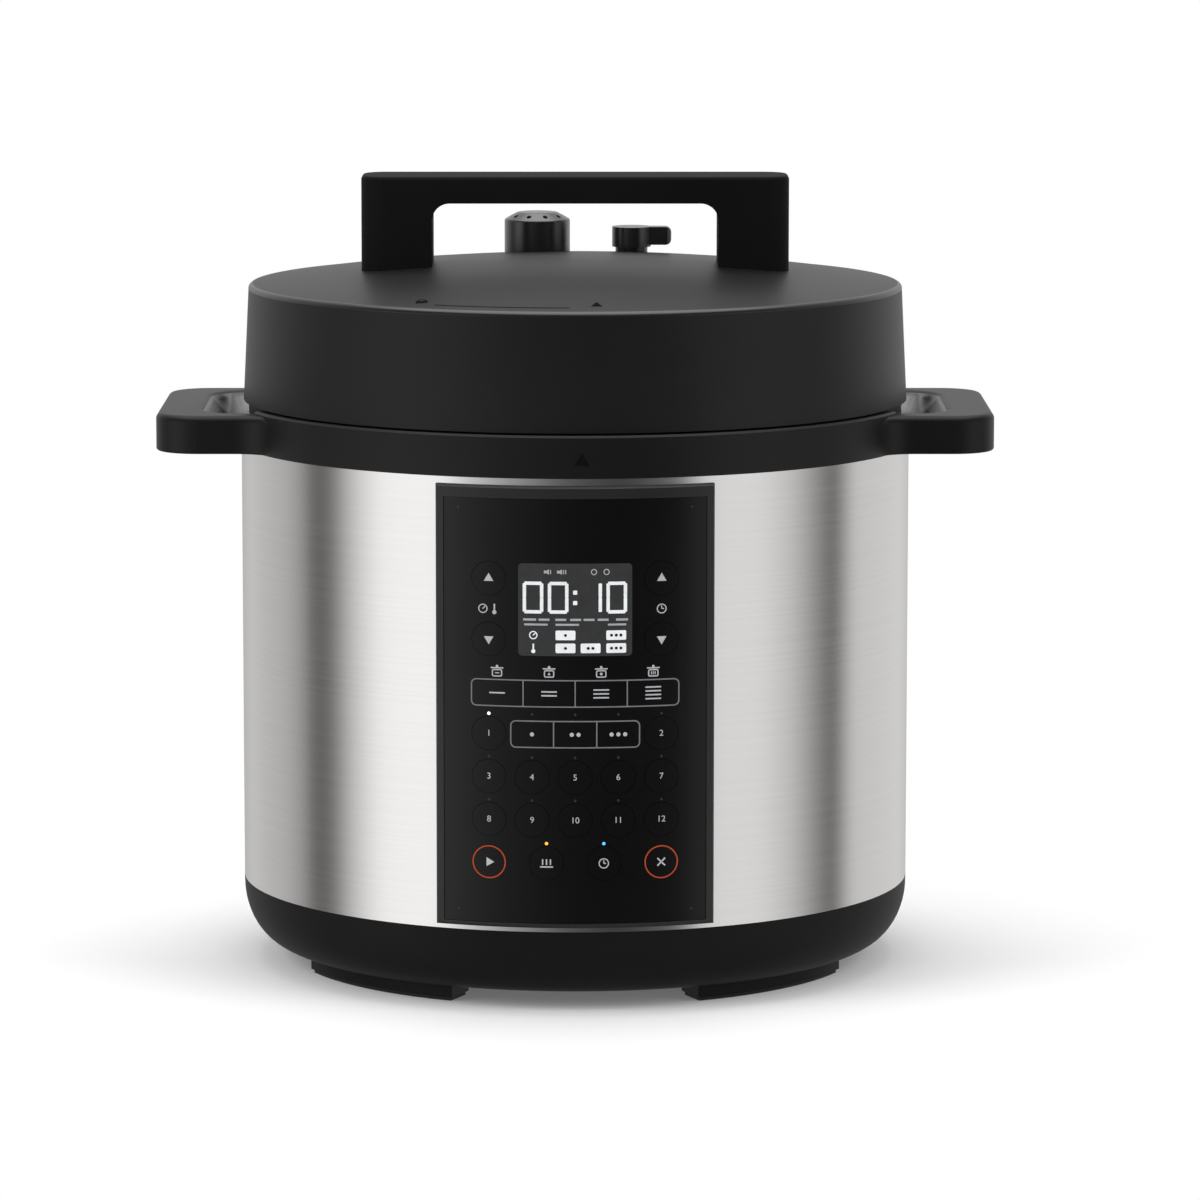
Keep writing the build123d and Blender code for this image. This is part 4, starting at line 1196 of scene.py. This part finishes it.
def floor():
    """A pale floor that fades into the white backdrop and leaves the steel its clean studio walls."""
    deselect()
    bpy.ops.mesh.primitive_circle_add(vertices=96, radius=6.0, fill_type="NGON", location=(0, 0, 0))
    ground = bpy.context.object
    ground.name = "studio_floor"
    material, shader = fresh_material("studio_floor")
    cloud = speckle(material, all_ways, 2)
    tint_between(material, shader, cloud, (0.9, 0.9, 0.9), (0.92, 0.92, 0.92))
    set_shader(shader, Roughness=0.9, Specular_IOR_Level=0.0)
    set_shader(shader, Emission_Color=(1, 1, 1, 1), Emission_Strength=0.12)
    place = add_node(material, "ShaderNodeTexCoord")
    length = add_node(material, "ShaderNodeVectorMath", operation="LENGTH")
    fade = add_node(material, "ShaderNodeMapRange", From_Min=0.17, From_Max=0.45)
    rays = add_node(material, "ShaderNodeLightPath")
    either = add_node(material, "ShaderNodeMath", operation="MAXIMUM")
    clear = add_node(material, "ShaderNodeBsdfTransparent")
    blend = add_node(material, "ShaderNodeMixShader")
    join_up(material, place, "Object", length, 0)
    join_up(material, length, "Value", fade, "Value")
    join_up(material, fade, "Result", either, 0)
    join_up(material, rays, "Is Glossy Ray", either, 1)
    join_up(material, either, 0, blend, 0)
    join_up(material, shader, "BSDF", blend, 1)
    join_up(material, clear, "BSDF", blend, 2)
    join_up(material, blend, "Shader", material.node_tree.nodes["Material Output"], "Surface")
    ground.data.materials.append(material)


def wall_ramp(world, split):
    """The studio's walls, by the angle that a ray leaves at, 0 towards the camera."""
    front = add_node(world, "ShaderNodeMath", operation="MULTIPLY")
    front.inputs[1].default_value = -1.0
    angle = add_node(world, "ShaderNodeMath", operation="ARCTAN2")
    turn = add_node(world, "ShaderNodeMapRange", From_Min=-pi, From_Max=pi)
    walls = add_node(world, "ShaderNodeValToRGB")
    stops = walls.color_ramp.elements
    stops[0].position = 0.0
    stops[1].position = 1.0
    for degrees_round, level in studio_walls[1:-1]:
        stops.new((degrees_round + 180) / 360)
    for stop, (degrees_round, level) in zip(stops, studio_walls):
        stop.color = (level, level, level, 1)
    join_up(world, split, "Y", front, 0)
    join_up(world, split, "X", angle, 0)
    join_up(world, front, 0, angle, 1)
    join_up(world, angle, 0, turn, "Value")
    join_up(world, turn, "Result", walls, "Fac")
    return walls


def studio():
    """White to the camera, an even fill, and for glossy rays the studio's walls, back and ceiling lamp."""
    world = bpy.data.worlds.new("studio")
    bpy.context.scene.world = world
    world.use_nodes = True
    place = add_node(world, "ShaderNodeTexCoord")
    split = add_node(world, "ShaderNodeSeparateXYZ")
    walls = wall_ramp(world, split)
    back = add_node(world, "ShaderNodeMapRange", From_Min=-0.2, From_Max=0.8, To_Min=0.1, To_Max=0.72)
    rise = add_node(world, "ShaderNodeMapRange", From_Min=0.0, From_Max=0.16)
    overhead = add_node(world, "ShaderNodeMapRange", From_Min=0.74, From_Max=0.84)
    ceiling = add_node(world, "ShaderNodeMixRGB", Color2=(2.4, 2.4, 2.4, 1))
    under = add_node(world, "ShaderNodeMapRange", From_Min=-0.7, From_Max=-0.18, To_Min=0.5)
    shaded = add_node(world, "ShaderNodeMixRGB", blend_type="MULTIPLY", Fac=1.0)
    glossy = add_node(world, "ShaderNodeMixRGB")
    rays = add_node(world, "ShaderNodeLightPath")
    fill = add_node(world, "ShaderNodeMixRGB", Color1=(0.62, 0.62, 0.62, 1))
    seen = add_node(world, "ShaderNodeMath", operation="MAXIMUM")
    white = add_node(world, "ShaderNodeMixRGB", Color2=(1, 1, 1, 1))
    join_up(world, place, "Generated", split, 0)
    join_up(world, split, "Z", under, "Value")
    join_up(world, walls, "Color", shaded, "Color1")
    join_up(world, under, "Result", shaded, "Color2")
    join_up(world, split, "Y", back, "Value")
    join_up(world, split, "Z", overhead, "Value")
    join_up(world, overhead, "Result", ceiling, "Fac")
    join_up(world, back, "Result", ceiling, "Color1")
    join_up(world, split, "Z", rise, "Value")
    join_up(world, rise, "Result", glossy, "Fac")
    join_up(world, shaded, "Color", glossy, "Color1")
    join_up(world, ceiling, "Color", glossy, "Color2")
    join_up(world, rays, "Is Glossy Ray", fill, "Fac")
    join_up(world, glossy, "Color", fill, "Color2")
    join_up(world, rays, "Is Camera Ray", seen, 0)
    join_up(world, rays, "Is Transmission Ray", seen, 1)
    join_up(world, seen, 0, white, "Fac")
    join_up(world, fill, "Color", white, "Color1")
    join_up(world, white, "Color", world.node_tree.nodes["Background"], "Color")


def soft_box(name, place, turn, width, height, power):
    """A large soft lamp, kept out of glossy surfaces, which show the studio instead."""
    deselect()
    bpy.ops.object.light_add(type="AREA", location=place, rotation=turn)
    lamp = bpy.context.object
    lamp.name = name
    lamp.data.shape = "RECTANGLE"
    lamp.data.size = width
    lamp.data.size_y = height
    lamp.data.energy = power
    lamp.visible_glossy = False


def camera():
    """At the photograph's distance, height and framing."""
    distance = 2.5
    pitch = radians(7.99)
    aim = 143.4 * mm
    deselect()
    place = (0, -distance * cos(pitch), aim + distance * sin(pitch))
    bpy.ops.object.camera_add(location=place, rotation=(pi / 2 - pitch, 0, 0))
    eye = bpy.context.object
    eye.name = "photo_camera"
    eye.data.sensor_width = 36
    eye.data.lens = 185.7
    eye.data.shift_x = 0.0207
    bpy.context.scene.camera = eye


floor()
studio()
soft_box("left_box", (-1.8, -1.0, 1.3), (radians(62), 0, radians(-61)), 1.0, 1.6, 18)
soft_box("right_box", (1.8, -1.0, 1.2), (radians(62), 0, radians(61)), 1.0, 1.6, 14)
soft_box("top_box", (0, 0.2, 2.0), (radians(-6), 0, 0), 1.4, 1.0, 14)
camera()

for helper in helpers.values():
    bpy.data.objects.remove(helper)
bpy.context.scene.view_settings.view_transform = "Standard"
